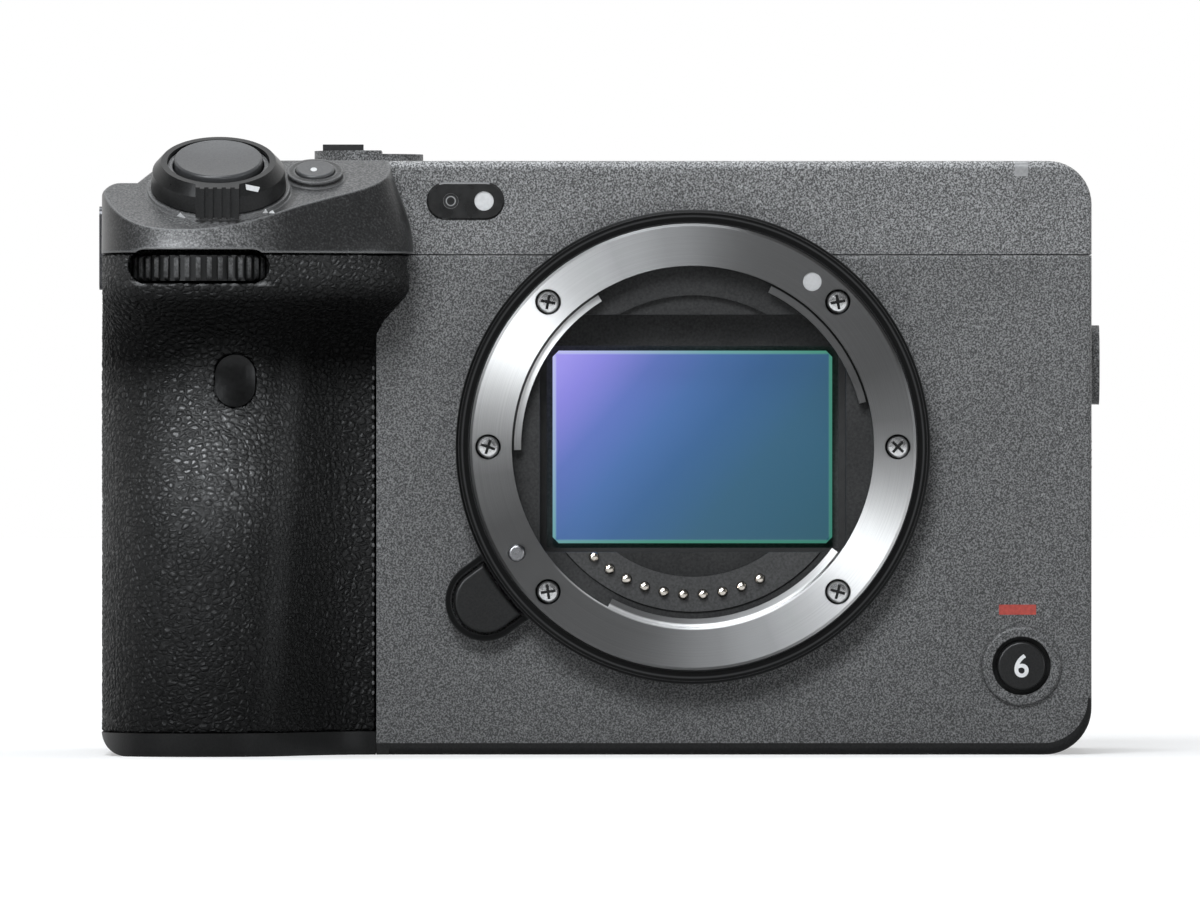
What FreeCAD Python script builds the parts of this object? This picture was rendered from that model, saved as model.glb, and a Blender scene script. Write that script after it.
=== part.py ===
import FreeCAD, Part
import math
import os

V = FreeCAD.Vector

# A compact full-frame cinema camera body, in millimetres.
# Origin: the mouth of the tripod socket, on the base plane, straight under the optical axis.
# +Z is up, the lens mount faces -Y, and the grip is on the -X side.

# Casing
GRIP_SIDE_REACH = 76.4
FAR_SIDE_REACH = 51.6
BODY_HEIGHT = 76.8
FRONT_REACH = 22.0
REAR_REACH = 35.5
WALL = 1.8
SEAM = 0.15
TOP_BAND_HEIGHT = 12.15
COVER_SPLIT_Y = 4.0
GRIP_SPLIT = 41.0
BASE_THICKNESS = 1.5
TOP_CORNER = 5.6
LOW_CORNER = 6.1
FOOT_CORNER = 3.5
SHOULDER_DROP = 3.0
SHOULDER_CORNER = 2.6
SHOULDER_WIDTH = 4.8
SHOULDER_RAMP = 3.6
FRONT_EDGE_ROUND = 0.9
HEAD_EDGE_ROUND = 1.7
REAR_EDGE_ROUND = 2.5
COVER_LOW_CORNER = 5.8
BASE_CURL_LIP = 0.5

# Running and seating clearances
RUN_GAP = 0.05
SLIDE_GAP = 0.1
PANEL_GAP = 0.15
FREE_GAP = 0.3

# Lens mount, measured from the optical axis and from the tripod hole forwards
AXIS_HEIGHT = 39.8
MOUNT_PROUD = 5.0
RING_OUTER = 28.85
RING_INNER = 23.4
RING_THICKNESS = 2.5
RING_BEVEL = 0.35
TAB_INNER = 22.2
TAB_RECESS = 1.0
TAB_THICKNESS = 1.4
TAB_GROOVE_WIDTH = 0.3
TAB_GROOVE_DEPTH = 0.5
TAB_SPANS = ((14.6, 64.0), (122.0, 181.0), (242.0, 324.0))
FLANGE_FOCAL_DISTANCE = 18.0
TRIM_OUTER = 30.65
TRIM_DROP = 0.8
TRIM_BEVEL = 0.35
SCREW_CIRCLE = 26.45
SCREW_ANGLES = (0.0, 45.0, 135.0, 180.0, 225.0, 315.0)
SCREW_HEAD = 1.65
SCREW_HEAD_DEPTH = 0.9
SCREW_SHANK = 0.9
SCREW_CROSS = 0.45
SCREW_CROSS_REACH = 1.0
INDEX_ANGLE = 54.2
INDEX_CIRCLE = 26.3
INDEX_RADIUS = 1.3
INDEX_DEPTH = 0.3
PIN_ANGLE = 211.0
PIN_CIRCLE = 26.57
PIN_RADIUS = 1.1
PIN_PROUD = 1.2
PIN_LENGTH = 8.2
BAFFLE_OUTER = 24.6
BAFFLE_STEP = 19.6
BAFFLE_RECESS = 0.8
BAFFLE_SILL = 0.6
WINDOW_HALF_WIDTH = 19.8
WINDOW_TOP = 17.1
WINDOW_LOW = 13.6

# Lens contacts, in the lower part of the throat
CONTACT_COUNT = 10
CONTACT_CIRCLE = 19.1
CONTACT_FIRST = 228.0
CONTACT_PITCH = 7.65
CONTACT_RADIUS = 0.65
CONTACT_PROUD = 0.9
CONTACT_LENGTH = 3.2
CONTACT_WELL_DEPTH = 1.2
CONTACT_BLOCK_DROP = 2.3
CONTACT_BLOCK_DEPTH = 2.4
CONTACT_BLOCK_INNER = 16.8
CONTACT_BLOCK_OUTER = 21.3
CONTACT_BLOCK_SPAN = (215.0, 325.0)

# Lens release at the lower left of the mount
RELEASE_ANGLE = 216.6
RELEASE_CIRCLE = 33.4
RELEASE_SURROUND = 5.2
RELEASE_SURROUND_PROUD = 2.3
RELEASE_RADIUS = 4.1
RELEASE_THICKNESS = 1.9
RELEASE_PROUD = 3.3
RELEASE_STEM = 1.5
RELEASE_STEM_LENGTH = 6.6

# Structure behind the mount
CHASSIS_THICKNESS = 2.0
CHASSIS_HALF_WIDTH = 33.0
CHASSIS_LIFT = 6.5
CHASSIS_DROP = 5.2
CHASSIS_FOOT_HALF_WIDTH = 14.0
CHASSIS_FOOT_THICKNESS = 2.0
CHASSIS_FOOT_BACK = 10.0
POST_RADIUS = 2.0
POST_X = 30.5
POST_Z = 20.0

# Shutter, open at rest with its blades stacked above the window
SHUTTER_DEPTH = 3.5
SHUTTER_PLATE = 0.6
SHUTTER_HALF_WIDTH = 27.0
SHUTTER_TOP = 27.0
SHUTTER_LOW = 16.5
SHUTTER_WINDOW_X = 18.9
SHUTTER_WINDOW_Z = 13.1
BLADE_COUNT = 3
BLADE_HEIGHT = 11.0
BLADE_HALF_WIDTH = 21.5
BLADE_THICKNESS = 0.3
BLADE_REST = 14.2

# Sensor and its stabiliser
GLASS_HALF_WIDTH = 18.15
GLASS_HALF_HEIGHT = 12.5
GLASS_CORNER = 0.8
GLASS_THICKNESS = 1.8
GLASS_STANDOFF = 1.4
PACKAGE_HALF_WIDTH = 20.5
PACKAGE_HALF_HEIGHT = 14.5
PACKAGE_THICKNESS = 2.4
STAGE_HALF_WIDTH = 24.0
STAGE_HALF_HEIGHT = 17.5
STAGE_THICKNESS = 2.0
FRAME_HALF_WIDTH = 26.0
FRAME_HALF_HEIGHT = 20.0
FRAME_THICKNESS = 1.5
FRAME_WINDOW_X = 16.0
FRAME_WINDOW_Z = 11.0
SENSOR_BASE_HALF_HEIGHT = 23.0
SENSOR_BASE_THICKNESS = 1.5

# Cooling and electronics
SINK_LEFT = -26.0
SINK_RIGHT = 17.0
SINK_HALF_HEIGHT = 18.0
SINK_BASE = 1.2
SINK_FIN_DEPTH = 6.2
SINK_FIN_THICKNESS = 1.0
SINK_FIN_COUNT = 9
BOARD_LEFT = -39.0
BOARD_RIGHT = 22.0
BOARD_LOW = 10.0
BOARD_DROP = 10.8
BOARD_GAP = 3.0
BOARD_THICKNESS = 1.4
BOARD_POST_RADIUS = 1.5
# Each chip: from the board's left edge, its width, its low edge from the middle, height, thickness
CHIPS = ((9.0, 16.0, -4.0, 16.0, 1.2), (31.0, 12.0, -2.0, 10.0, 1.0), (47.0, 10.0, 12.0, 10.0, 1.0),
         (5.0, 10.0, -24.0, 8.0, 1.4), (27.0, 24.0, -25.0, 5.0, 2.4))
FAN_INSET = 15.6
FAN_Z = 42.0
FAN_RADIUS = 10.0
FAN_HUB = 3.6
FAN_BLADES = 11
FAN_DEPTH = 8.0
FAN_GAP = 2.6
FAN_WALL = 1.2
FAN_HALF_WIDTH = 12.4
FAN_PIN = 1.0

# Grip
SKIN_THICKNESS = 1.0
FOOT_HEIGHT = 3.0
SKIN_BACK_Y = -6.0
CAVITY_FLOOR = 3.3
HEAD_OVERHANG = 3.4
CROWN_WALL = 2.0
# Each plan point: its share of the width from the grip side, and of the reach forwards
LOW_PLAN = ((0.0, 0.0), (0.011, 0.35), (0.068, 0.68), (0.194, 0.93), (0.363, 1.0),
            (0.532, 0.93), (0.659, 0.70), (0.758, 0.38), (0.870, 0.12), (1.0, 0.0))
HEAD_PLAN = ((0.0, 0.0), (0.005, 0.40), (0.034, 0.74), (0.115, 0.93), (0.300, 1.0),
             (0.496, 0.93), (0.668, 0.78), (0.825, 0.65), (0.975, 0.49), (1.0, 0.0))
# Each level: its share of the height up to the seam, its reach in front of the body, and
# how far it has changed from the low plan to the head's
GRIP_LEVELS = ((0.0, 19.6, 0.0), (0.046, 20.0, 0.0), (0.278, 21.6, 0.0), (0.464, 21.6, 0.0),
               (0.588, 19.8, 0.0), (0.696, 16.6, 0.0), (0.781, 15.2, 0.05),
               (0.843, 16.6, 0.2), (0.889, 20.0, 0.65), (0.936, 22.4, 0.95), (1.0, 23.0, 1.0))
# Each level: its height above the seam, its reach in front, and how far its right end draws in
CROWN_LEVELS = ((0.0, 23.0, 0.0), (2.35, 22.0, 0.1), (5.35, 20.3, 0.7), (9.35, 18.0, 2.0),
                (14.35, 14.5, 2.4))

# The sloping deck on top of the grip
DECK_EDGE_REACH = 21.0
DECK_EDGE_DROP = 8.8
DECK_TILT = 26.0
DECK_INSET = 15.3
DECK_REACH = 11.2
RING_BASE_RADIUS = 9.2
RING_BASE_HEIGHT = 0.5
COLLAR_OUTER = 6.5
COLLAR_WALL = 0.55
COLLAR_HEIGHT = 3.6
LEVER_LOW = 0.7
LEVER_TOP = 4.2
LEVER_FOOT_RADIUS = 8.7
LEVER_WAIST_RADIUS = 8.5
LEVER_RIM_RADIUS = 7.4
LEVER_TAB_WIDTH = 5.6
LEVER_TAB_REACH = 9.6
LEVER_RIDGES = 5
LEVER_RIDGE_DEPTH = 0.4
BUTTON_RADIUS = 5.7
BUTTON_LOW = 2.2
BUTTON_TOP = 4.7
BUTTON_STEM = 1.5
BUTTON_STEM_LENGTH = 6.0
BUTTON_DISH = 0.35
SMALL_BUTTON_OFFSET = 12.4
SMALL_BUTTON_REACH = 7.5
SMALL_COLLAR_RADIUS = 3.6
SMALL_COLLAR_HEIGHT = 0.9
SMALL_CAP_RADIUS = 2.5
SMALL_CAP_HEIGHT = 1.3
SMALL_CAP_DEPTH = 1.5
SMALL_BOSS_DEPTH = 3.4

# Front dial in its slot under the crown
FRONT_DIAL_INSET = 12.9
FRONT_DIAL_REACH = 13.2
FRONT_DIAL_RADIUS = 9.6
FRONT_DIAL_DROP = 3.55
FRONT_DIAL_HEIGHT = 3.3
FRONT_DIAL_PIN = 1.5
DIAL_RIBS = 42
DIAL_RIB_DEPTH = 0.5
DIAL_GROOVE_SHARE = 0.58
DIAL_CHAMFER = 0.45
SLOT_ARCH = 0.5
SLOT_END_ROUND = 2.0
FRONT_SLOT_HALF = 8.9
SHELF_GAP = 0.7
SHELF_THICKNESS = 1.5

# Rear dial under the top cover
REAR_DIAL_INSET = 14.4
REAR_DIAL_DEPTH = 7.3
REAR_DIAL_RADIUS = 9.0
REAR_DIAL_DROP = 10.6
REAR_DIAL_HEIGHT = 4.2
REAR_DIAL_PIN = 1.5

# Power switch on the top
SWITCH_INSET = 1.2
SWITCH_Y = 4.0
SWITCH_RADIUS = 7.1
SWITCH_BASE_TOP = 1.2
SWITCH_PAD_TOP = 1.65
SWITCH_LIFT = 0.2
SWITCH_PAD_REACH = 1.7
SWITCH_HANDLE_REACH = 6.0
SWITCH_HANDLE_START = 0.7
SWITCH_HANDLE_TOP = 2.5
SWITCH_HANDLE_HALF = 1.6
SWITCH_SPINDLE = 1.5
SWITCH_SPINDLE_LENGTH = 5.0
SWITCH_BOSS = 3.4

# Lamp window, tally lamp and record button on the front
LAMP_OFFSET = 11.6
LAMP_DROP = 5.2
LAMP_WIDTH = 10.1
LAMP_HEIGHT = 4.9
LAMP_PROUD = 0.3
LENS_LEFT_OFFSET = -1.9
LENS_LEFT_RADIUS = 1.0
LENS_RIGHT_OFFSET = 2.4
LENS_RIGHT_RADIUS = 1.25
RECORD_INSET = 9.1
TALLY_WIDTH = 1.7
TALLY_LENGTH = 2.4
TALLY_DROP = 2.0
RECORD_Z = 11.5
RECORD_COLLAR = 5.2
RECORD_COLLAR_PROUD = 0.7
RECORD_COLLAR_ROUND = 0.5
RECORD_HOLE = 3.8
RECORD_CAP = 3.15
RECORD_PROUD = 0.9
RECORD_FLANGE = 4.6
RECORD_FLANGE_THICKNESS = 0.6
RECORD_SEAT = 0.5
RECORD_TRAVEL_ROOM = 0.7
IR_INSET = 17.5
IR_DROP = 12.95
IR_HEIGHT = 6.8
IR_RADIUS = 2.6
IR_PROUD = 0.1
IR_DEPTH_REACH = 8.0

# Threads, sockets and lugs
TRIPOD_BORE = 2.6
TRIPOD_BUSH = 5.0
TRIPOD_DEPTH = 7.0
BUSH_OUTER = 4.2
BUSH_LENGTH = 7.0
BUSH_FLOOR = 1.2
TOP_THREAD_INSET = 17.6
TOP_THREAD_X = -24.0
TOP_THREAD_FRONT_Y = -9.5
TOP_THREAD_BACK_Y = 14.0
SIDE_BUSH_DEPTH = 9.0
SIDE_BUSH_Z = 50.45
SIDE_PILL_HALF = 5.15
SIDE_PILL_RADIUS = 4.0
SIDE_PILL_PROUD = 1.15
SIDE_BORE_DEPTH = 6.0
SIDE_BUSH_OUTER = 3.6
LUG_BELOW_SEAM = 4.45
LUG_ABOVE_SEAM = 6.35
LUG_DEPTH = 7.0
LUG_WIDTH = 6.0
LUG_PROUD = 0.55
LUG_SLOT = 1.6
LUG_RIVET = 1.4
SHOE_LENGTH = 20.0
SHOE_BACK_GAP = 2.0
SHOE_HALF_WIDTH = 12.0
SHOE_SLOT_HALF = 9.35
SHOE_MOUTH_HALF = 6.3
SHOE_RECESS = 4.8
SHOE_PLATE = 1.0
SHOE_SLOT_HEIGHT = 2.1
SHOE_RAIL = 1.3

# Rear face and monitor
POCKET_LEFT = -32.5
POCKET_LOW = 6.5
POCKET_DEPTH = 7.5
MONITOR_LEFT = -30.5
MONITOR_INSET = 4.6
MONITOR_LOW = 7.5
MONITOR_DROP = 1.15
MONITOR_BACK_GAP = 0.4
MONITOR_THICKNESS = 8.8
MONITOR_CORNER = 3.0
GLASS_INSET = 1.4
MONITOR_GLASS_THICKNESS = 0.8
HINGE_INSET = 2.0
HINGE_DEPTH = 2.3
HINGE_BARREL = 1.95
HINGE_PIN = 1.0
HINGE_RELIEF = 5.75
EAR_LOW = 16.0
EAR_DROP = 9.65
EAR_HEIGHT = 4.0
EAR_HALF_WIDTH = 1.95
WHEEL_INSET = 23.4
WHEEL_Z = 26.0
WHEEL_OUTER = 11.5
WHEEL_INNER = 5.5
WHEEL_RECESS = 0.8
WHEEL_PROUD = 0.9
WHEEL_GROOVES = 36
HUB_BORE = 4.6
HUB_PROUD = 0.5
WHEEL_BUTTON = 4.5
WHEEL_BUTTON_PROUD = 1.1
STICK_OFFSET = 13.0
STICK_DROP = 10.15
STICK_HOLE = 3.3
STICK_BALL = 2.4
STICK_CAP = 3.6
STICK_STEM = 1.3
STICK_PIN = 0.7
STICK_PIN_REACH = 3.2
STICK_PROUD = 4.0
STICK_CAP_HEIGHT = 2.6
STICK_DISH = 0.5
STICK_DISH_RADIUS = 9.0
REAR_BUTTON = 2.6
REAR_BUTTON_PROUD = 0.8
REAR_BUTTON_FLANGE = 3.5
REAR_BUTTON_TRAVEL_ROOM = 0.7
MENU_OFFSET = 6.0
MENU_DROP = 4.65
PLAY_OFFSET = 7.5
PLAY_Z = 10.0

# Battery and card
BATTERY_INSET = 4.8
BATTERY_WIDTH = 22.7
BATTERY_GAP = 1.4
BATTERY_LENGTH = 38.7
BATTERY_LOW = 2.6
BATTERY_HEIGHT = 51.7
BATTERY_PLAY = 0.2
BOX_WALL = 0.8
BOX_CEILING_GAP = 0.6
BATTERY_CONTACTS = 4
BATTERY_CONTACT_PITCH = 3.2
BATTERY_CONTACT_WIDTH = 1.2
BATTERY_CONTACT_START = 6.0
BATTERY_CONTACT_INSET = 3.0
BATTERY_CONTACT_LENGTH = 6.0
BATTERY_CONTACT_RAIL = 1.6
BATTERY_DOOR_LEFT_LAP = 1.4
BATTERY_DOOR_RIGHT_LAP = 3.3
BATTERY_DOOR_END_LAP = 1.95
BATTERY_DOOR_THICKNESS = 2.0
DOOR_THICKNESS = 1.4
STUB_RADIUS = 0.45
STUB_LENGTH = 0.7
LATCH_LENGTH = 7.0
LATCH_WIDTH = 5.0
LATCH_THICKNESS = 0.8
LATCH_INSET = 4.0
LATCH_Y = -3.5
LATCH_RAIL = 0.4
LATCH_FLOOR = 0.35
LATCH_TRAVEL = 3.0
READER_WIDTH = 23.2
READER_INSET = 14.5
READER_DEPTH = 8.0
READER_RIB = 1.2
READER_RIB_LOW = 38.0
READER_LOW = 18.0
READER_TOP = 52.0
CARD_SLOT = 2.6
CARD_SLOT_MARGIN = 1.0
CARD_SLOT_LOW = 22.5
CARD_SLOT_TOP = 47.5
CARD_WINDOW_MARGIN = 1.2
CARD_DOOR_INSET = 4.0
CARD_DOOR_WIDTH = 14.5
CARD_DOOR_LOW = 14.0
CARD_DOOR_TOP = 56.0

# Side doors, sockets and vents on the far side
PAD_THICKNESS = 1.4
PAD_MARGIN = 0.8
SIDE_DOOR_INSET = 1.5
AUDIO_DOOR_WIDTH = 10.0
AUDIO_DOOR_HEIGHT = 16.0
AUDIO_DROP = 4.65
VIDEO_DOOR_DEPTH = 4.0
VIDEO_LOW = 10.0
DOOR_SPACING = 3.0
SOCKET_DEPTH = 7.4
SIDE_BOARD_THICKNESS = 1.6
JACK_BORE = 1.75
JACK_OUTER = 3.2
JACK_INSET = 5.1
JACK_SPACING = 7.6
WIDE_SOCKET_INSET = 15.1
WIDE_SOCKET_WIDTH = 14.0
WIDE_SOCKET_HEIGHT = 4.6
SMALL_SOCKET_INSET = 7.5
SMALL_SOCKET_SPACING = 14.0
SMALL_SOCKET_WIDTH = 8.4
SMALL_SOCKET_HEIGHT = 2.6
SOCKET_WALL = 0.6
VENT_LAP = 3.5
VENT_LENGTH = 13.0
VENT_BELOW_FAN = 14.5
VENT_PITCH = 3.8
VENT_HEIGHT = 1.9
VENT_COUNT = 8

# Base fasteners
BASE_SCREW_X = 18.0
BASE_SCREW_END_INSET = 7.0
BASE_SCREW_SIDE_INSET = 7.6
BASE_SCREW_FRONT_INSET = 8.0
BASE_SCREW_BACK_INSET = 6.5
BASE_SCREW_HEAD = 1.8
BASE_SCREW_HEAD_DEPTH = 0.8
BASE_SCREW_SHANK = 0.8

# Places that follow from the sizes above
LEFT = -GRIP_SIDE_REACH
RIGHT = FAR_SIDE_REACH
TOP = BODY_HEIGHT
FRONT = -FRONT_REACH
REAR = REAR_REACH
FAR = 200.0
SPLIT_X = -GRIP_SPLIT
TOP_SEAM_HEIGHT = TOP - TOP_BAND_HEIGHT
MOUNT_REACH = FRONT_REACH + MOUNT_PROUD
TRIM_REACH = MOUNT_REACH - TRIM_DROP
CONTACT_BLOCK_REACH = MOUNT_REACH - CONTACT_BLOCK_DROP
RELEASE_SURROUND_REACH = FRONT_REACH + RELEASE_SURROUND_PROUD
RELEASE_REACH = FRONT_REACH + RELEASE_PROUD
POCKET_Y = REAR - POCKET_DEPTH
CHASSIS_FRONT_Y = FRONT + WALL
CHASSIS_BACK_Y = CHASSIS_FRONT_Y + CHASSIS_THICKNESS
FILM_Y = -MOUNT_REACH + FLANGE_FOCAL_DISTANCE
GLASS_BACK_Y = FILM_Y - GLASS_STANDOFF
GLASS_FRONT_Y = GLASS_BACK_Y - GLASS_THICKNESS
PACKAGE_BACK_Y = GLASS_BACK_Y + PACKAGE_THICKNESS
STAGE_BACK_Y = PACKAGE_BACK_Y + STAGE_THICKNESS
FRAME_FRONT_Y = STAGE_BACK_Y + FREE_GAP
FRAME_BACK_Y = FRAME_FRONT_Y + FRAME_THICKNESS
SENSOR_BASE_FRONT_Y = FRAME_BACK_Y + FREE_GAP
SENSOR_BASE_BACK_Y = SENSOR_BASE_FRONT_Y + SENSOR_BASE_THICKNESS
SHUTTER_FRONT_Y = CHASSIS_BACK_Y + FREE_GAP
BOARD_Y = SENSOR_BASE_BACK_Y + SINK_BASE + SINK_FIN_DEPTH + BOARD_GAP
BOARD_TOP = TOP - BOARD_DROP
FAN_X = RIGHT - FAN_INSET
FAN_FRONT_Y = BOARD_Y + BOARD_THICKNESS + FAN_GAP
DECK_SLOPE = math.tan(math.radians(DECK_TILT))
DECK_X = LEFT + DECK_INSET
DECK_Y = FRONT - DECK_REACH
DECK_Z = TOP - DECK_EDGE_DROP + (DECK_EDGE_REACH - DECK_REACH) * DECK_SLOPE
SMALL_BUTTON_X = DECK_X + SMALL_BUTTON_OFFSET
SMALL_BUTTON_Y = FRONT - SMALL_BUTTON_REACH
SMALL_BUTTON_Z = TOP - DECK_EDGE_DROP + (DECK_EDGE_REACH - SMALL_BUTTON_REACH) * DECK_SLOPE
FRONT_DIAL_X = LEFT + FRONT_DIAL_INSET
FRONT_DIAL_Y = FRONT - FRONT_DIAL_REACH
FRONT_DIAL_LOW = TOP_SEAM_HEIGHT - FRONT_DIAL_DROP
FRONT_SLOT_LOW = FRONT_DIAL_LOW - FREE_GAP
SHELF_LOW = FRONT_DIAL_LOW - SHELF_GAP - SHELF_THICKNESS
REAR_DIAL_X = LEFT + REAR_DIAL_INSET
REAR_DIAL_Y = REAR - REAR_DIAL_DEPTH
REAR_DIAL_LOW = TOP - REAR_DIAL_DROP
SWITCH_X = SPLIT_X - SWITCH_INSET
LAMP_X = SPLIT_X + LAMP_OFFSET
LAMP_Z = TOP - LAMP_DROP
RECORD_X = RIGHT - RECORD_INSET
IR_X = LEFT + IR_INSET
IR_TOP = TOP_SEAM_HEIGHT - IR_DROP
IR_LOW = IR_TOP - IR_HEIGHT
IR_BACK_Y = FRONT - IR_DEPTH_REACH
TOP_THREADS = ((RIGHT - TOP_THREAD_INSET, TOP_THREAD_FRONT_Y), (RIGHT - TOP_THREAD_INSET, TOP_THREAD_BACK_Y),
               (TOP_THREAD_X, TOP_THREAD_FRONT_Y))
SIDE_BUSH_Y = FRONT + SIDE_BUSH_DEPTH
LUG_LOW = TOP_SEAM_HEIGHT - LUG_BELOW_SEAM
LUG_TOP = TOP_SEAM_HEIGHT + LUG_ABOVE_SEAM
LUG_FRONT_Y = FRONT + LUG_DEPTH
LUG_BACK_Y = LUG_FRONT_Y + LUG_WIDTH
SHOE_BACK_Y = REAR - SHOE_BACK_GAP
SHOE_FRONT_Y = SHOE_BACK_Y - SHOE_LENGTH
MONITOR_RIGHT = RIGHT - MONITOR_INSET
MONITOR_TOP = TOP_SEAM_HEIGHT - MONITOR_DROP
HINGE_X = RIGHT - HINGE_INSET
HINGE_Y = REAR - HINGE_DEPTH
EAR_TOP = TOP_SEAM_HEIGHT - EAR_DROP
WHEEL_X = LEFT + WHEEL_INSET
STICK_X = POCKET_LEFT - STICK_OFFSET
STICK_Z = TOP_SEAM_HEIGHT - STICK_DROP
MENU_X = POCKET_LEFT - MENU_OFFSET
MENU_Z = TOP_SEAM_HEIGHT - MENU_DROP
PLAY_X = POCKET_LEFT - PLAY_OFFSET
REAR_BUTTONS = ((MENU_X, MENU_Z), (PLAY_X, PLAY_Z))
READER_FRONT_Y = REAR - READER_INSET
READER_LEFT = LEFT + WALL + PAD_THICKNESS
READER_RIGHT = READER_LEFT + READER_WIDTH
BATTERY_LEFT = LEFT + BATTERY_INSET
BATTERY_RIGHT = BATTERY_LEFT + BATTERY_WIDTH
BATTERY_BACK_Y = READER_FRONT_Y - BATTERY_GAP
BATTERY_FRONT_Y = BATTERY_BACK_Y - BATTERY_LENGTH
BATTERY_TOP = BATTERY_LOW + BATTERY_HEIGHT
BATTERY_DOOR_LEFT = BATTERY_LEFT - BATTERY_DOOR_LEFT_LAP
BATTERY_DOOR_RIGHT = BATTERY_RIGHT + BATTERY_DOOR_RIGHT_LAP
BATTERY_DOOR_FRONT_Y = BATTERY_FRONT_Y - BATTERY_DOOR_END_LAP
BATTERY_DOOR_BACK_Y = BATTERY_BACK_Y + BATTERY_DOOR_END_LAP
LATCH_X = BATTERY_DOOR_LEFT + LATCH_INSET
CARD_DOOR_BACK_Y = REAR - CARD_DOOR_INSET
CARD_DOOR_FRONT_Y = CARD_DOOR_BACK_Y - CARD_DOOR_WIDTH
SIDE_DOOR_BACK_Y = COVER_SPLIT_Y - SIDE_DOOR_INSET
AUDIO_FRONT_Y = SIDE_DOOR_BACK_Y - AUDIO_DOOR_WIDTH
AUDIO_TOP = TOP_SEAM_HEIGHT - AUDIO_DROP
AUDIO_LOW = AUDIO_TOP - AUDIO_DOOR_HEIGHT
AUDIO_MIDDLE = (AUDIO_LOW + AUDIO_TOP) / 2
VIDEO_FRONT_Y = FRONT + VIDEO_DOOR_DEPTH
VIDEO_TOP = AUDIO_LOW - DOOR_SPACING
VIDEO_MIDDLE = (VIDEO_LOW + VIDEO_TOP) / 2
VENT_FRONT_Y = FAN_FRONT_Y - VENT_LAP
VENT_BACK_Y = VENT_FRONT_Y + VENT_LENGTH
VENT_LOW = FAN_Z - VENT_BELOW_FAN
BASE_SCREW_LEFT_X = SPLIT_X + BASE_SCREW_END_INSET
BASE_SCREW_RIGHT_X = RIGHT - BASE_SCREW_SIDE_INSET
BASE_SCREW_FRONT_Y = FRONT + BASE_SCREW_FRONT_INSET
BASE_SCREW_BACK_Y = REAR - BASE_SCREW_BACK_INSET
POCKET_SCREW_BACK_Y = POCKET_Y - WALL - BASE_SCREW_HEAD
BASE_SCREWS = ((BASE_SCREW_LEFT_X, BASE_SCREW_FRONT_Y), (BASE_SCREW_X, BASE_SCREW_FRONT_Y),
               (BASE_SCREW_RIGHT_X, BASE_SCREW_FRONT_Y), (BASE_SCREW_LEFT_X, BASE_SCREW_BACK_Y),
               (BASE_SCREW_X, BASE_SCREW_BACK_Y), (BASE_SCREW_RIGHT_X, POCKET_SCREW_BACK_Y))


# Plain shapes
def block(x0, x1, y0, y1, z0, z1):
    return Part.makeBox(x1 - x0, y1 - y0, z1 - z0, V(x0, y0, z0))


def rod(radius, length, base=(0, 0, 0), axis=(0, 0, 1)):
    return Part.makeCylinder(radius, length, V(*base), V(*axis))


def tube(outer, inner, length, base=(0, 0, 0), axis=(0, 0, 1)):
    return rod(outer, length, base, axis).cut(rod(inner, length, base, axis))


def cone(low_radius, top_radius, height, base=(0, 0, 0), axis=(0, 0, 1)):
    return Part.makeCone(low_radius, top_radius, height, V(*base), V(*axis))


def join(shapes):
    whole = shapes[0].multiFuse(list(shapes[1:]))
    return whole.removeSplitter()


def take(shape, tools):
    return shape.cut(list(tools))


def polar(radius, angle, height=0.0):
    turn = math.radians(angle)
    return (radius * math.cos(turn), radius * math.sin(turn), height)


# A closed outline in the XY plane through corners (x, y, radius)
def outline(corners):
    starts = []
    ends = []
    middles = []
    for index, (x, y, radius) in enumerate(corners):
        here = V(x, y, 0)
        before = V(corners[index - 1][0], corners[index - 1][1], 0)
        after = V(corners[(index + 1) % len(corners)][0], corners[(index + 1) % len(corners)][1], 0)
        if not radius:
            starts.append(here)
            ends.append(here)
            middles.append(None)
            continue
        back = (before - here).normalize()
        ahead = (after - here).normalize()
        half = back.getAngle(ahead) / 2
        reach = radius / math.tan(half)
        bisector = (back + ahead).normalize()
        starts.append(here + back * reach)
        ends.append(here + ahead * reach)
        middles.append(here + bisector * (radius / math.sin(half) - radius))
    edges = []
    for index, middle in enumerate(middles):
        if middle is not None:
            edges.append(Part.Arc(starts[index], middle, ends[index]).toShape())
        following = starts[(index + 1) % len(corners)]
        if ends[index].distanceToPoint(following) > 1e-6:
            edges.append(Part.LineSegment(ends[index], following).toShape())
    return Part.Wire(edges)


def slab(corners, low, high):
    face = Part.Face(outline(corners))
    face.translate(V(0, 0, low))
    return face.extrude(V(0, 0, high - low))


def rectangle(x0, x1, y0, y1, radius=0.0):
    return [(x0, y0, radius), (x1, y0, radius), (x1, y1, radius), (x0, y1, radius)]


def pill(width, height, x=0.0, y=0.0):
    radius = min(width, height) / 2 - 1e-4
    return rectangle(x - width / 2, x + width / 2, y - height / 2, y + height / 2, radius)


# A slab with round ends from one centre to another, each (x, y)
def capsule(start, end, radius, low, high):
    along = V(end[0] - start[0], end[1] - start[1], 0)
    side = V(-along.y, along.x, 0).normalize() * radius
    first = V(start[0], start[1], low)
    second = V(end[0], end[1], low)
    body = Part.makePolygon([first + side, first - side, second - side, second + side, first + side])
    lift = high - low
    return join([Part.Face(body).extrude(V(0, 0, lift)), rod(radius, lift, tuple(first)),
                 rod(radius, lift, tuple(second))])


# Part of a ring between two angles
def ring_part(outer, inner, low, high, start, end):
    wedge = Part.makeCylinder(outer, high - low, V(0, 0, low), V(0, 0, 1), end - start)
    wedge.rotate(V(0, 0, 0), V(0, 0, 1), start)
    return wedge.cut(rod(inner, high - low + 2, (0, 0, low - 1)))


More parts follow.
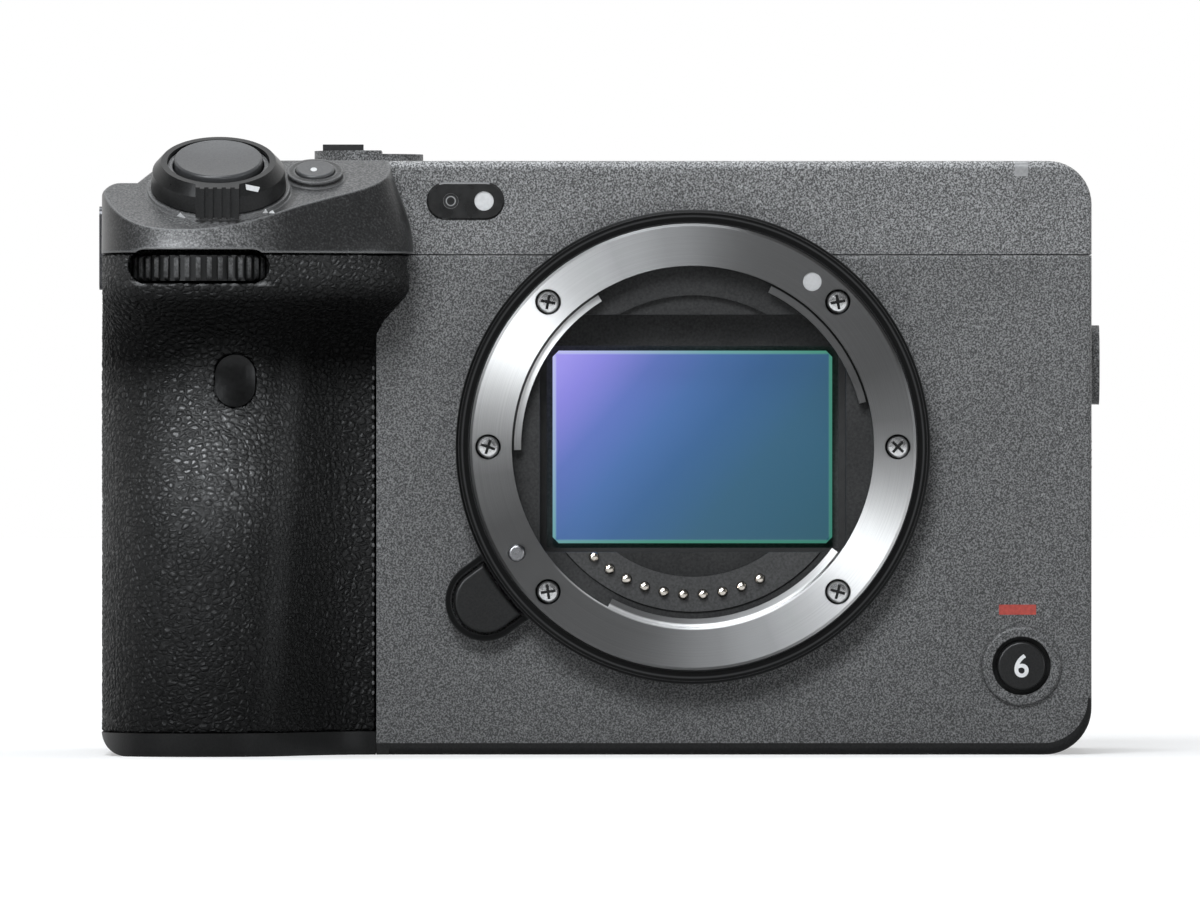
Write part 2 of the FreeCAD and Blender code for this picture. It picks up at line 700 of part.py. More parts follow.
# Shapes drawn with +Z outwards are turned to the face that they belong to
def turned(shape, axis, angle, place):
    placed = shape.copy()
    turn = FreeCAD.Placement(V(*place), FreeCAD.Rotation(V(*axis), angle))
    placed.Placement = turn.multiply(placed.Placement)
    return placed


def to_front(shape, x=0.0, z=0.0):
    return turned(shape, (1, 0, 0), 90, (x, 0, z))


def to_rear(shape, x=0.0, z=0.0):
    return turned(shape, (1, 0, 0), -90, (x, 0, z))


def to_mount(shape):
    return to_front(shape, 0.0, AXIS_HEIGHT)


def to_deck(shape):
    return turned(shape, (1, 0, 0), DECK_TILT, (DECK_X, DECK_Y, DECK_Z))


def to_small_button(shape):
    return turned(shape, (1, 0, 0), DECK_TILT, (SMALL_BUTTON_X, SMALL_BUTTON_Y, SMALL_BUTTON_Z))


def wheel_blank(radius, height, ribs, depth):
    """A dial with fine ribs round its rim, standing on the XY plane."""
    rim = rod(radius, height)
    rim = rim.makeChamfer(DIAL_CHAMFER, [edge for edge in rim.Edges if len(edge.Vertexes) == 1])
    width = 2 * math.pi * radius / ribs * DIAL_GROOVE_SHARE
    groove = block(radius - depth, radius + depth, -width / 2, width / 2, 0, height)
    tools = []
    for index in range(ribs):
        copy = groove.copy()
        copy.rotate(V(0, 0, 0), V(0, 0, 1), 360.0 * index / ribs)
        tools.append(copy)
    return take(rim, tools)


# Casing outline, seen from the front, drawn in from the outside by inset
def body_corners(inset, bottom, low_left, low_right):
    shift = inset * math.tan(math.atan2(SHOULDER_DROP, SHOULDER_RAMP) / 2)
    top = TOP - inset
    shoulder = TOP - SHOULDER_DROP - inset
    ramp_low = LEFT + SHOULDER_WIDTH + shift
    return [(LEFT + inset, bottom, low_left),
            (RIGHT - inset, bottom, low_right),
            (RIGHT - inset, top, TOP_CORNER - inset),
            (ramp_low + SHOULDER_RAMP, top, 0.0),
            (ramp_low, shoulder, 0.0),
            (LEFT + inset, shoulder, SHOULDER_CORNER - inset)]


def edges_at(shape, y):
    return [edge for edge in shape.Edges
            if all(abs(vertex.Y - y) < 1e-6 for vertex in edge.Vertexes)]


def outline_prism(corners, front, back):
    return to_front(slab(corners, -back, -front))


def outer_block():
    corners = body_corners(0.0, 0.0, FOOT_CORNER, LOW_CORNER)
    plain = outline_prism(corners, FRONT, REAR)
    rounded = plain.makeFillet(FRONT_EDGE_ROUND, edges_at(plain, FRONT))
    rounded = rounded.makeFillet(REAR_EDGE_ROUND, edges_at(rounded, REAR))
    head_right = SPLIT_X + HEAD_OVERHANG - HEAD_EDGE_ROUND
    behind_grip = plain.common(block(-FAR, head_right, FRONT - 1, 0.0, -1, FAR))
    return rounded.fuse(behind_grip).removeSplitter()


def inner_block():
    corners = body_corners(WALL, BASE_THICKNESS + WALL, WALL, COVER_LOW_CORNER - WALL)
    hollow = outline_prism(corners, FRONT + WALL, REAR - WALL)
    pocket_walls = block(POCKET_LEFT - WALL, FAR, POCKET_Y - WALL, FAR,
                         POCKET_LOW - WALL, TOP_SEAM_HEIGHT + WALL)
    return hollow.cut(pocket_walls)


# Everything above the base plate, whose far edge curls up the corner
def cover_zone():
    corner_top = BASE_THICKNESS + COVER_LOW_CORNER + 0.01
    corners = [(-FAR, BASE_THICKNESS, 0.0),
               (RIGHT - BASE_CURL_LIP, BASE_THICKNESS, COVER_LOW_CORNER),
               (RIGHT - BASE_CURL_LIP, corner_top, 0.0),
               (FAR, corner_top, 0.0),
               (FAR, FAR, 0.0),
               (-FAR, FAR, 0.0)]
    return outline_prism(corners, FRONT - 1, REAR + 1)


OUTER = outer_block()
COVER_ZONE = cover_zone()


def casing():
    pocket = block(POCKET_LEFT, FAR, POCKET_Y, FAR, POCKET_LOW, TOP_SEAM_HEIGHT)
    return OUTER.cut(inner_block()).cut(pocket)


CASING = casing()


# Mount
def mount_screw_hole(radius, low, high, angle):
    return rod(radius, high - low, polar(SCREW_CIRCLE, angle, low))


def rim_bevel(radius, size, top):
    band = tube(radius + 1, radius - size, size, (0, 0, top - size))
    return band.cut(cone(radius, radius - size, size, (0, 0, top - size)))


def mount_ring():
    low = MOUNT_REACH - RING_THICKNESS
    ring = tube(RING_OUTER, RING_INNER, RING_THICKNESS, (0, 0, low))
    ring = ring.cut(rim_bevel(RING_OUTER, RING_BEVEL, MOUNT_REACH))
    tab_top = MOUNT_REACH - TAB_RECESS
    tabs = []
    for start, end in TAB_SPANS:
        tabs.append(ring_part(RING_INNER + 0.5, TAB_INNER, tab_top - TAB_THICKNESS, tab_top, start, end))
    ring = join([ring] + tabs)
    holes = []
    head_low = MOUNT_REACH - SCREW_HEAD_DEPTH
    for angle in SCREW_ANGLES:
        holes.append(mount_screw_hole(SCREW_SHANK + RUN_GAP, low - 1, MOUNT_REACH + 1, angle))
        holes.append(mount_screw_hole(SCREW_HEAD + RUN_GAP, head_low, MOUNT_REACH + 1, angle))
    holes.append(rod(PIN_RADIUS + RUN_GAP, RING_THICKNESS + 2, polar(PIN_CIRCLE, PIN_ANGLE, low - 1)))
    index_base = polar(INDEX_CIRCLE, INDEX_ANGLE, MOUNT_REACH - INDEX_DEPTH)
    holes.append(rod(INDEX_RADIUS, INDEX_DEPTH + 1, index_base))
    groove_low = tab_top - TAB_GROOVE_DEPTH
    for start, end in TAB_SPANS:
        groove_inner = RING_INNER - TAB_GROOVE_WIDTH
        holes.append(ring_part(RING_INNER, groove_inner, groove_low, tab_top + 1, start, end))
    return to_mount(take(ring, holes))


def release_end(radius):
    return polar(radius, RELEASE_ANGLE)[:2]


def mount_trim():
    flange_top = MOUNT_REACH - RING_THICKNESS
    flange = tube(TRIM_OUTER, BAFFLE_OUTER + SLIDE_GAP, flange_top - FRONT_REACH, (0, 0, FRONT_REACH))
    rim_height = TRIM_REACH - FRONT_REACH
    rim = tube(TRIM_OUTER, RING_OUTER + SLIDE_GAP, rim_height, (0, 0, FRONT_REACH))
    surround = capsule(release_end(TRIM_OUTER - 2), release_end(RELEASE_CIRCLE), RELEASE_SURROUND,
                       FRONT_REACH, RELEASE_SURROUND_REACH)
    surround = surround.cut(rod(RING_OUTER + 0.5, FAR, (0, 0, 0)))
    well = capsule(release_end(TRIM_OUTER - 2), release_end(RELEASE_CIRCLE), RELEASE_RADIUS + FREE_GAP,
                   FRONT_REACH - 1, RELEASE_REACH + 1)
    well = well.cut(rod(TRIM_OUTER, FAR, (0, 0, 0)))
    trim = take(join([flange, rim, surround]), [well, rim_bevel(TRIM_OUTER, TRIM_BEVEL, TRIM_REACH)])
    holes = []
    for angle in SCREW_ANGLES:
        holes.append(mount_screw_hole(SCREW_SHANK + RUN_GAP, FRONT_REACH - 1, flange_top + 1, angle))
    holes.append(rod(PIN_RADIUS + RUN_GAP, 8, polar(PIN_CIRCLE, PIN_ANGLE, FRONT_REACH - 1)))
    return to_mount(take(trim, holes))


def mount_screws():
    screws = []
    low = FRONT_REACH - WALL - CHASSIS_THICKNESS
    for angle in SCREW_ANGLES:
        head = mount_screw_hole(SCREW_HEAD, MOUNT_REACH - SCREW_HEAD_DEPTH, MOUNT_REACH - 0.1, angle)
        shank = mount_screw_hole(SCREW_SHANK, low, MOUNT_REACH - SCREW_HEAD_DEPTH, angle)
        cross = join([block(-SCREW_CROSS_REACH, SCREW_CROSS_REACH, -SCREW_CROSS / 2, SCREW_CROSS / 2, 0, 1),
                      block(-SCREW_CROSS / 2, SCREW_CROSS / 2, -SCREW_CROSS_REACH, SCREW_CROSS_REACH, 0, 1)])
        cross.translate(V(*polar(SCREW_CIRCLE, angle, MOUNT_REACH - SCREW_HEAD_DEPTH / 2)))
        screws.append(join([head, shank]).cut(cross))
    return to_mount(Part.makeCompound(screws))


def throat_baffle():
    low = FRONT_REACH - WALL - CHASSIS_THICKNESS
    top = MOUNT_REACH - RING_THICKNESS - SLIDE_GAP
    body = rod(BAFFLE_OUTER, top - low, (0, 0, low))
    step = rod(BAFFLE_STEP, BAFFLE_RECESS + 1, (0, 0, top - BAFFLE_RECESS))
    window = block(-WINDOW_HALF_WIDTH, WINDOW_HALF_WIDTH, -WINDOW_LOW, WINDOW_TOP, low - 1, top + 1)
    sill = block(-WINDOW_HALF_WIDTH, WINDOW_HALF_WIDTH, SHUTTER_WINDOW_Z, WINDOW_TOP, low, low + BAFFLE_SILL)
    sill = sill.common(body)
    chamber_low = CONTACT_BLOCK_REACH - CONTACT_BLOCK_DEPTH
    chamber = rod(CONTACT_BLOCK_OUTER + SLIDE_GAP, FAR, (0, 0, chamber_low))
    chamber = chamber.common(block(-FAR, FAR, -FAR, -WINDOW_LOW + 0.5, 0, FAR))
    wells = contact_spots(CONTACT_RADIUS + SLIDE_GAP, chamber_low - CONTACT_WELL_DEPTH, chamber_low + 1)
    return to_mount(take(body, [step, window, chamber] + wells).fuse(sill).removeSplitter())


def contact_spots(radius, low, high):
    spots = []
    for index in range(CONTACT_COUNT):
        spot = polar(CONTACT_CIRCLE, CONTACT_FIRST + CONTACT_PITCH * index, low)
        spots.append(rod(radius, high - low, spot))
    return spots


def contact_block():
    low = CONTACT_BLOCK_REACH - CONTACT_BLOCK_DEPTH
    start, end = CONTACT_BLOCK_SPAN
    body = ring_part(CONTACT_BLOCK_OUTER, CONTACT_BLOCK_INNER, low, CONTACT_BLOCK_REACH, start, end)
    body = body.common(block(-FAR, FAR, -FAR, -WINDOW_LOW, 0, FAR))
    return to_mount(take(body, contact_spots(CONTACT_RADIUS + RUN_GAP, low - 1, CONTACT_BLOCK_REACH + 1)))


def lens_contacts():
    high = CONTACT_BLOCK_REACH + CONTACT_PROUD
    return to_mount(Part.makeCompound(contact_spots(CONTACT_RADIUS, high - CONTACT_LENGTH, high)))


def lock_pin():
    top = MOUNT_REACH + PIN_PROUD
    pin = rod(PIN_RADIUS, PIN_LENGTH, polar(PIN_CIRCLE, PIN_ANGLE, top - PIN_LENGTH))
    edges = [edge for edge in pin.Edges if edge.CenterOfMass.z > top - 0.01]
    return to_mount(pin.makeFillet(PIN_RADIUS * 0.4, edges))


def lens_release():
    low = RELEASE_REACH - RELEASE_THICKNESS
    cap = capsule(release_end(TRIM_OUTER), release_end(RELEASE_CIRCLE), RELEASE_RADIUS, low, RELEASE_REACH)
    cap = cap.cut(rod(TRIM_OUTER + FREE_GAP, FAR, (0, 0, 0)))
    stem_base = polar(RELEASE_CIRCLE, RELEASE_ANGLE, low - RELEASE_STEM_LENGTH)
    stem = rod(RELEASE_STEM, RELEASE_STEM_LENGTH, stem_base)
    edges = [edge for edge in cap.Edges if edge.BoundBox.ZMin > RELEASE_REACH - 0.01]
    return to_mount(cap.makeFillet(0.5, edges).fuse(stem).removeSplitter())


def mount_passages():
    """Holes that the mount needs through the front cover and the chassis."""
    low = FRONT_REACH - WALL - CHASSIS_THICKNESS - 1
    length = MOUNT_REACH - low
    holes = [rod(BAFFLE_OUTER + SLIDE_GAP, length, (0, 0, low))]
    for angle in SCREW_ANGLES:
        holes.append(rod(SCREW_SHANK + RUN_GAP, length, polar(SCREW_CIRCLE, angle, low)))
    holes.append(rod(PIN_RADIUS + RUN_GAP, length, polar(PIN_CIRCLE, PIN_ANGLE, low)))
    holes.append(rod(RELEASE_STEM + RUN_GAP, length, polar(RELEASE_CIRCLE, RELEASE_ANGLE, low)))
    return [to_mount(hole) for hole in holes]


# Structure
def chassis():
    floor = BASE_THICKNESS + WALL
    plate_low = floor + CHASSIS_LIFT
    plate_top = TOP - WALL - CHASSIS_DROP
    corners = rectangle(-CHASSIS_HALF_WIDTH, CHASSIS_HALF_WIDTH, plate_low, plate_top, 3.0)
    plate = to_front(slab(corners, -CHASSIS_BACK_Y, -CHASSIS_FRONT_Y))
    half = CHASSIS_FOOT_HALF_WIDTH
    leg = block(-half, half, CHASSIS_FRONT_Y, CHASSIS_BACK_Y, floor, AXIS_HEIGHT)
    foot = block(-half, half, CHASSIS_FRONT_Y, CHASSIS_FOOT_BACK, floor, floor + CHASSIS_FOOT_THICKNESS)
    posts = []
    for x in (-POST_X, POST_X):
        for z in (AXIS_HEIGHT - POST_Z, AXIS_HEIGHT + POST_Z):
            length = SENSOR_BASE_FRONT_Y - CHASSIS_BACK_Y
            posts.append(rod(POST_RADIUS, length, (x, CHASSIS_BACK_Y, z), (0, 1, 0)))
    body = join([plate, leg, foot] + posts)
    return take(body, mount_passages() + [rod(TRIPOD_BUSH, FAR, (0, 0, -1))])


def shutter_frame():
    back_y = SHUTTER_FRONT_Y + SHUTTER_DEPTH
    low = AXIS_HEIGHT - SHUTTER_LOW
    top = AXIS_HEIGHT + SHUTTER_TOP
    body = block(-SHUTTER_HALF_WIDTH, SHUTTER_HALF_WIDTH, SHUTTER_FRONT_Y, back_y, low, top)
    blade_room = BLADE_HALF_WIDTH + FREE_GAP
    hollow = block(-blade_room, blade_room, SHUTTER_FRONT_Y + SHUTTER_PLATE, back_y - SHUTTER_PLATE,
                   low + 1.0, top - 1.0)
    window = block(-SHUTTER_WINDOW_X, SHUTTER_WINDOW_X, SHUTTER_FRONT_Y - 1, back_y + 1,
                   AXIS_HEIGHT - SHUTTER_WINDOW_Z, AXIS_HEIGHT + SHUTTER_WINDOW_Z)
    posts = []
    for x in (-POST_X, POST_X):
        for z in (AXIS_HEIGHT - POST_Z, AXIS_HEIGHT + POST_Z):
            posts.append(rod(POST_RADIUS + FREE_GAP, FAR, (x, CHASSIS_BACK_Y, z), (0, 1, 0)))
    seats = []
    for x in (-SHUTTER_HALF_WIDTH + 1.5, SHUTTER_HALF_WIDTH - 1.5):
        seats.append(rod(1.2, FREE_GAP, (x, CHASSIS_BACK_Y, AXIS_HEIGHT), (0, 1, 0)))
    return join([take(body, [hollow, window] + posts)] + seats)


def blade_plane(index):
    pitch = (SHUTTER_DEPTH - 2 * SHUTTER_PLATE - FREE_GAP) / BLADE_COUNT
    return SHUTTER_FRONT_Y + SHUTTER_PLATE + FREE_GAP + pitch * index


def shutter_blade(index):
    low = AXIS_HEIGHT + BLADE_REST
    front_y = blade_plane(index)
    back_y = front_y + BLADE_THICKNESS
    blade = block(-BLADE_HALF_WIDTH, BLADE_HALF_WIDTH, front_y, back_y, low, low + BLADE_HEIGHT)
    upright = [edge for edge in blade.Edges if edge.Length < BLADE_THICKNESS + 0.01]
    return blade.makeFillet(1.0, upright)


def sensor_glass():
    corners = rectangle(-GLASS_HALF_WIDTH, GLASS_HALF_WIDTH, -GLASS_HALF_HEIGHT, GLASS_HALF_HEIGHT)
    pane = to_mount(slab(corners, -GLASS_BACK_Y, -GLASS_FRONT_Y))
    across = [edge for edge in pane.Edges if abs(edge.Length - GLASS_THICKNESS) < 1e-6]
    pane = pane.makeChamfer(GLASS_CORNER, across)
    return pane.makeChamfer(0.3, edges_at(pane, GLASS_FRONT_Y))


def sensor_stage():
    package = rectangle(-PACKAGE_HALF_WIDTH, PACKAGE_HALF_WIDTH,
                        -PACKAGE_HALF_HEIGHT, PACKAGE_HALF_HEIGHT, 1.0)
    plate = rectangle(-STAGE_HALF_WIDTH, STAGE_HALF_WIDTH, -STAGE_HALF_HEIGHT, STAGE_HALF_HEIGHT, 2.0)
    return to_mount(join([slab(package, -PACKAGE_BACK_Y, -GLASS_BACK_Y),
                          slab(plate, -STAGE_BACK_Y, -PACKAGE_BACK_Y)]))


def sensor_frame():
    ring = rectangle(-FRAME_HALF_WIDTH, FRAME_HALF_WIDTH, -FRAME_HALF_HEIGHT, FRAME_HALF_HEIGHT, 2.0)
    window = rectangle(-FRAME_WINDOW_X, FRAME_WINDOW_X, -FRAME_WINDOW_Z, FRAME_WINDOW_Z, 1.0)
    body = slab(ring, -FRAME_BACK_Y, -FRAME_FRONT_Y)
    return to_mount(body.cut(slab(window, -FRAME_BACK_Y - 1, -FRAME_FRONT_Y + 1)))


def board_posts():
    places = []
    for x in (BOARD_LEFT + 8.5, BOARD_RIGHT - 2.5):
        for z in (AXIS_HEIGHT - SENSOR_BASE_HALF_HEIGHT + 2, AXIS_HEIGHT + SENSOR_BASE_HALF_HEIGHT - 2):
            places.append((x, SENSOR_BASE_BACK_Y, z))
    return [rod(BOARD_POST_RADIUS, BOARD_Y - SENSOR_BASE_BACK_Y, place, (0, 1, 0)) for place in places]


def sensor_base():
    plate = rectangle(-CHASSIS_HALF_WIDTH, CHASSIS_HALF_WIDTH,
                      -SENSOR_BASE_HALF_HEIGHT, SENSOR_BASE_HALF_HEIGHT, 2.0)
    body = to_mount(slab(plate, -SENSOR_BASE_BACK_Y, -SENSOR_BASE_FRONT_Y))
    return join([body] + board_posts())


def heat_sink():
    base_back = SENSOR_BASE_BACK_Y + SINK_BASE
    low = AXIS_HEIGHT - SINK_HALF_HEIGHT
    top = AXIS_HEIGHT + SINK_HALF_HEIGHT
    parts = [block(SINK_LEFT, SINK_RIGHT, SENSOR_BASE_BACK_Y, base_back, low, top)]
    step = (SINK_RIGHT - SINK_LEFT - SINK_FIN_THICKNESS) / (SINK_FIN_COUNT - 1)
    for index in range(SINK_FIN_COUNT):
        x = SINK_LEFT + step * index
        parts.append(block(x, x + SINK_FIN_THICKNESS, base_back, base_back + SINK_FIN_DEPTH, low, top))
    return join(parts)


def main_board():
    back = BOARD_Y + BOARD_THICKNESS
    parts = [block(BOARD_LEFT, BOARD_RIGHT, BOARD_Y, back, BOARD_LOW, BOARD_TOP)]
    middle = (BOARD_LOW + BOARD_TOP) / 2
    for left, width, low, tall, height in CHIPS:
        chip_left = BOARD_LEFT + left
        chip_low = middle + low
        parts.append(block(chip_left, chip_left + width, back, back + height, chip_low, chip_low + tall))
    return join(parts)


def fan_housing():
    back_y = FAN_FRONT_Y + FAN_DEPTH
    exit_x = RIGHT - WALL
    body = join([rod(FAN_HALF_WIDTH, FAN_DEPTH, (FAN_X, FAN_FRONT_Y, FAN_Z), (0, 1, 0)),
                 block(FAN_X, exit_x, FAN_FRONT_Y, back_y, FAN_Z - FAN_HALF_WIDTH, FAN_Z + FAN_HALF_WIDTH)])
    room = FAN_HALF_WIDTH - FAN_WALL
    hollow = join([rod(room, FAN_DEPTH - 2 * FAN_WALL, (FAN_X, FAN_FRONT_Y + FAN_WALL, FAN_Z), (0, 1, 0)),
                   block(FAN_X, exit_x + 1, FAN_FRONT_Y + FAN_WALL, back_y - FAN_WALL,
                         FAN_Z - room, FAN_Z + room)])
    inlet = rod(FAN_HUB + 3.2, FAN_WALL + 2, (FAN_X, FAN_FRONT_Y - 1, FAN_Z), (0, 1, 0))
    pin = rod(FAN_PIN, FAN_DEPTH - FAN_WALL, (FAN_X, FAN_FRONT_Y, FAN_Z), (0, 1, 0))
    feet = []
    for z in (FAN_Z - FAN_HALF_WIDTH + 3, FAN_Z + FAN_HALF_WIDTH - 3):
        feet.append(rod(1.6, POCKET_Y - WALL - back_y, (FAN_X + 4, back_y, z), (0, 1, 0)))
    return join([take(body, [hollow, inlet]), pin] + feet)


def fan_rotor():
    low_y = FAN_FRONT_Y + FAN_WALL + FREE_GAP
    depth = FAN_DEPTH - 2 * FAN_WALL - 2 * FREE_GAP
    hub = rod(FAN_HUB, depth, (0, 0, 0))
    blades = []
    for index in range(FAN_BLADES):
        blade = block(FAN_HUB - 0.4, FAN_RADIUS, -0.35, 0.35, 0, depth - 0.6)
        blade.rotate(V(FAN_HUB, 0, 0), V(0, 0, 1), 18)
        blade.rotate(V(0, 0, 0), V(0, 0, 1), 360.0 * index / FAN_BLADES)
        blades.append(blade)
    disc = rod(FAN_RADIUS - 0.4, 0.6, (0, 0, 0))
    rotor = take(join([hub, disc] + blades), [rod(FAN_PIN + RUN_GAP, FAR, (0, 0, -1))])
    rotor = turned(rotor, (1, 0, 0), 90, (FAN_X, low_y + depth, FAN_Z))
    return rotor


# Grip
def grip_points(reach, share, draw_in=0.0):
    low_width = SPLIT_X + SEAM / 2 - LEFT
    head_width = SPLIT_X + HEAD_OVERHANG - draw_in - LEFT
    points = []
    for low, head in zip(LOW_PLAN, HEAD_PLAN):
        x = low[0] * low_width * (1 - share) + head[0] * head_width * share
        out = low[1] + (head[1] - low[1]) * share
        points.append(V(LEFT + x, FRONT - reach * out, 0))
    return points


def drawn_in(points, inset):
    moved = []
    last = len(points) - 1
    for index, point in enumerate(points):
        if index == 0:
            tangent = V(0, -1, 0)
        else:
            tangent = points[min(index + 1, last)] - points[max(index - 1, 0)]
        normal = V(-tangent.y, tangent.x, 0).normalize()
        moved.append(point + normal * inset)
    return moved


def grip_wire(points, z, back_y):
    raised = [V(point.x, point.y, z) for point in points]
    curve = Part.BSplineCurve()
    curve.interpolate(Points=raised)
    right_back = V(raised[-1].x, back_y, z)
    left_back = V(raised[0].x, back_y, z)
    return Part.Wire([curve.toShape(), Part.LineSegment(raised[-1], right_back).toShape(),
                      Part.LineSegment(right_back, left_back).toShape(),
                      Part.LineSegment(left_back, raised[0]).toShape()])


def grip_body(inset):
    wires = []
    for rise, reach, share in GRIP_LEVELS:
        points = drawn_in(grip_points(reach, share), inset)
        wires.append(grip_wire(points, rise * TOP_SEAM_HEIGHT, COVER_SPLIT_Y - SEAM / 2))
    return Part.makeLoft(wires, True, False)


def crown_body(inset):
    wires = []
    for rise, reach, draw_in in CROWN_LEVELS:
        points = drawn_in(grip_points(reach, 1.0, draw_in), inset)
        wires.append(grip_wire(points, TOP_SEAM_HEIGHT + rise, FRONT + 1))
    return Part.makeLoft(wires, True, False)


GRIP_SOLID = grip_body(0.0)
GRIP_CORE = grip_body(SKIN_THICKNESS)
SILHOUETTE = outline_prism(body_corners(0.0, 0.0, FOOT_CORNER, LOW_CORNER), -FAR, REAR)


def behind_front_face():
    return block(SPLIT_X - SEAM / 2, FAR, FRONT - 0.02, FAR, -1, FAR)


def skin_zone():
    top = TOP_SEAM_HEIGHT - SEAM / 2
    return block(-FAR, FAR, -FAR, SKIN_BACK_Y, FOOT_HEIGHT, top)


def front_dial_room():
    return rod(FRONT_DIAL_RADIUS + 0.4, TOP_SEAM_HEIGHT - FRONT_SLOT_LOW + 1,
               (FRONT_DIAL_X, FRONT_DIAL_Y, FRONT_SLOT_LOW))


def front_slot():
    corners = rectangle(FRONT_DIAL_X - FRONT_SLOT_HALF, FRONT_DIAL_X + FRONT_SLOT_HALF, FRONT_SLOT_LOW,
                        TOP_SEAM_HEIGHT + SLOT_ARCH, SLOT_END_ROUND)
    return to_front(slab(corners, -FRONT_DIAL_Y, FAR))


def ir_pocket():
    corners = rectangle(IR_X - IR_RADIUS, IR_X + IR_RADIUS, IR_LOW, IR_TOP, IR_RADIUS - 0.01)
    return to_front(slab(corners, -IR_BACK_Y, FAR))


def grip_skin():
    skin = GRIP_SOLID.cut(GRIP_CORE).common(skin_zone())
    skin = take(skin, [behind_front_face(), front_slot(), front_dial_room(), ir_pocket(), lug_seat()])
    return skin


def battery_way():
    door_gap = BATTERY_DOOR_THICKNESS + SLIDE_GAP
    recess = block(BATTERY_DOOR_LEFT - PANEL_GAP, BATTERY_DOOR_RIGHT + PANEL_GAP,
                   BATTERY_DOOR_FRONT_Y - PANEL_GAP, BATTERY_DOOR_BACK_Y + PANEL_GAP, -1, door_gap)
    way = block(BATTERY_LEFT - BATTERY_PLAY, BATTERY_RIGHT + BATTERY_PLAY, BATTERY_FRONT_Y - BATTERY_PLAY,
                BATTERY_BACK_Y + BATTERY_PLAY, -1, CAVITY_FLOOR + 1)
    stubs = rod(STUB_RADIUS + RUN_GAP, BATTERY_DOOR_BACK_Y - BATTERY_DOOR_FRONT_Y + 2 * STUB_LENGTH + 0.2,
                (BATTERY_DOOR_RIGHT - BATTERY_DOOR_THICKNESS / 2, BATTERY_DOOR_FRONT_Y - STUB_LENGTH - 0.1,
                 BATTERY_DOOR_THICKNESS / 2), (0, 1, 0))
    return [recess, way, stubs]


def grip_shell():
    skin = GRIP_SOLID.cut(GRIP_CORE).common(skin_zone())
    body = GRIP_SOLID.common(block(-FAR, FAR, -FAR, FAR, 0, TOP_SEAM_HEIGHT - SEAM / 2))
    body = body.cut(skin)
    inner_left = LEFT + SKIN_THICKNESS + WALL
    cavity = grip_body(SKIN_THICKNESS + WALL).common(block(-FAR, FAR, -FAR, FAR, CAVITY_FLOOR, FAR))
    open_back = block(inner_left, FAR, FRONT + WALL, FAR, CAVITY_FLOOR, FAR)
    for tool in (cavity, open_back, behind_front_face()):
        body = body.cut(tool)
    shelf_zone = block(-FAR, FAR, -FAR, FRONT - 1, SHELF_LOW, SHELF_LOW + SHELF_THICKNESS)
    shelf = grip_body(SKIN_THICKNESS + WALL / 2).common(shelf_zone)
    pin_low = SHELF_LOW + SHELF_THICKNESS - 0.5
    pin_height = FRONT_DIAL_LOW + FRONT_DIAL_HEIGHT - pin_low
    pin = rod(FRONT_DIAL_PIN, pin_height, (FRONT_DIAL_X, FRONT_DIAL_Y, pin_low))
    body = take(body, [front_slot(), front_dial_room(), ir_pocket(), lug_seat()] + battery_way())
    body = join([body, shelf.cut(behind_front_face()), pin])
    return body.common(SILHOUETTE)


def front_dial():
    dial = wheel_blank(FRONT_DIAL_RADIUS, FRONT_DIAL_HEIGHT, DIAL_RIBS, DIAL_RIB_DEPTH)
    dial = dial.cut(rod(FRONT_DIAL_PIN + RUN_GAP, FAR, (0, 0, -1)))
    return turned(dial, (0, 0, 1), 0, (FRONT_DIAL_X, FRONT_DIAL_Y, FRONT_DIAL_LOW))


def ir_window():
    corners = rectangle(IR_X - IR_RADIUS + RUN_GAP, IR_X + IR_RADIUS - RUN_GAP, IR_LOW + RUN_GAP,
                        IR_TOP - RUN_GAP, IR_RADIUS - RUN_GAP - 0.01)
    plug = to_front(slab(corners, -IR_BACK_Y, FAR))
    return plug.common(grip_body(-IR_PROUD))


# Deck, with its z axis square to the slope
def below_deck(depth):
    plane = block(-FAR, FAR, -FAR, FAR, -FAR, -depth)
    return turned(plane, (1, 0, 0), DECK_TILT, (DECK_X, DECK_Y, DECK_Z))


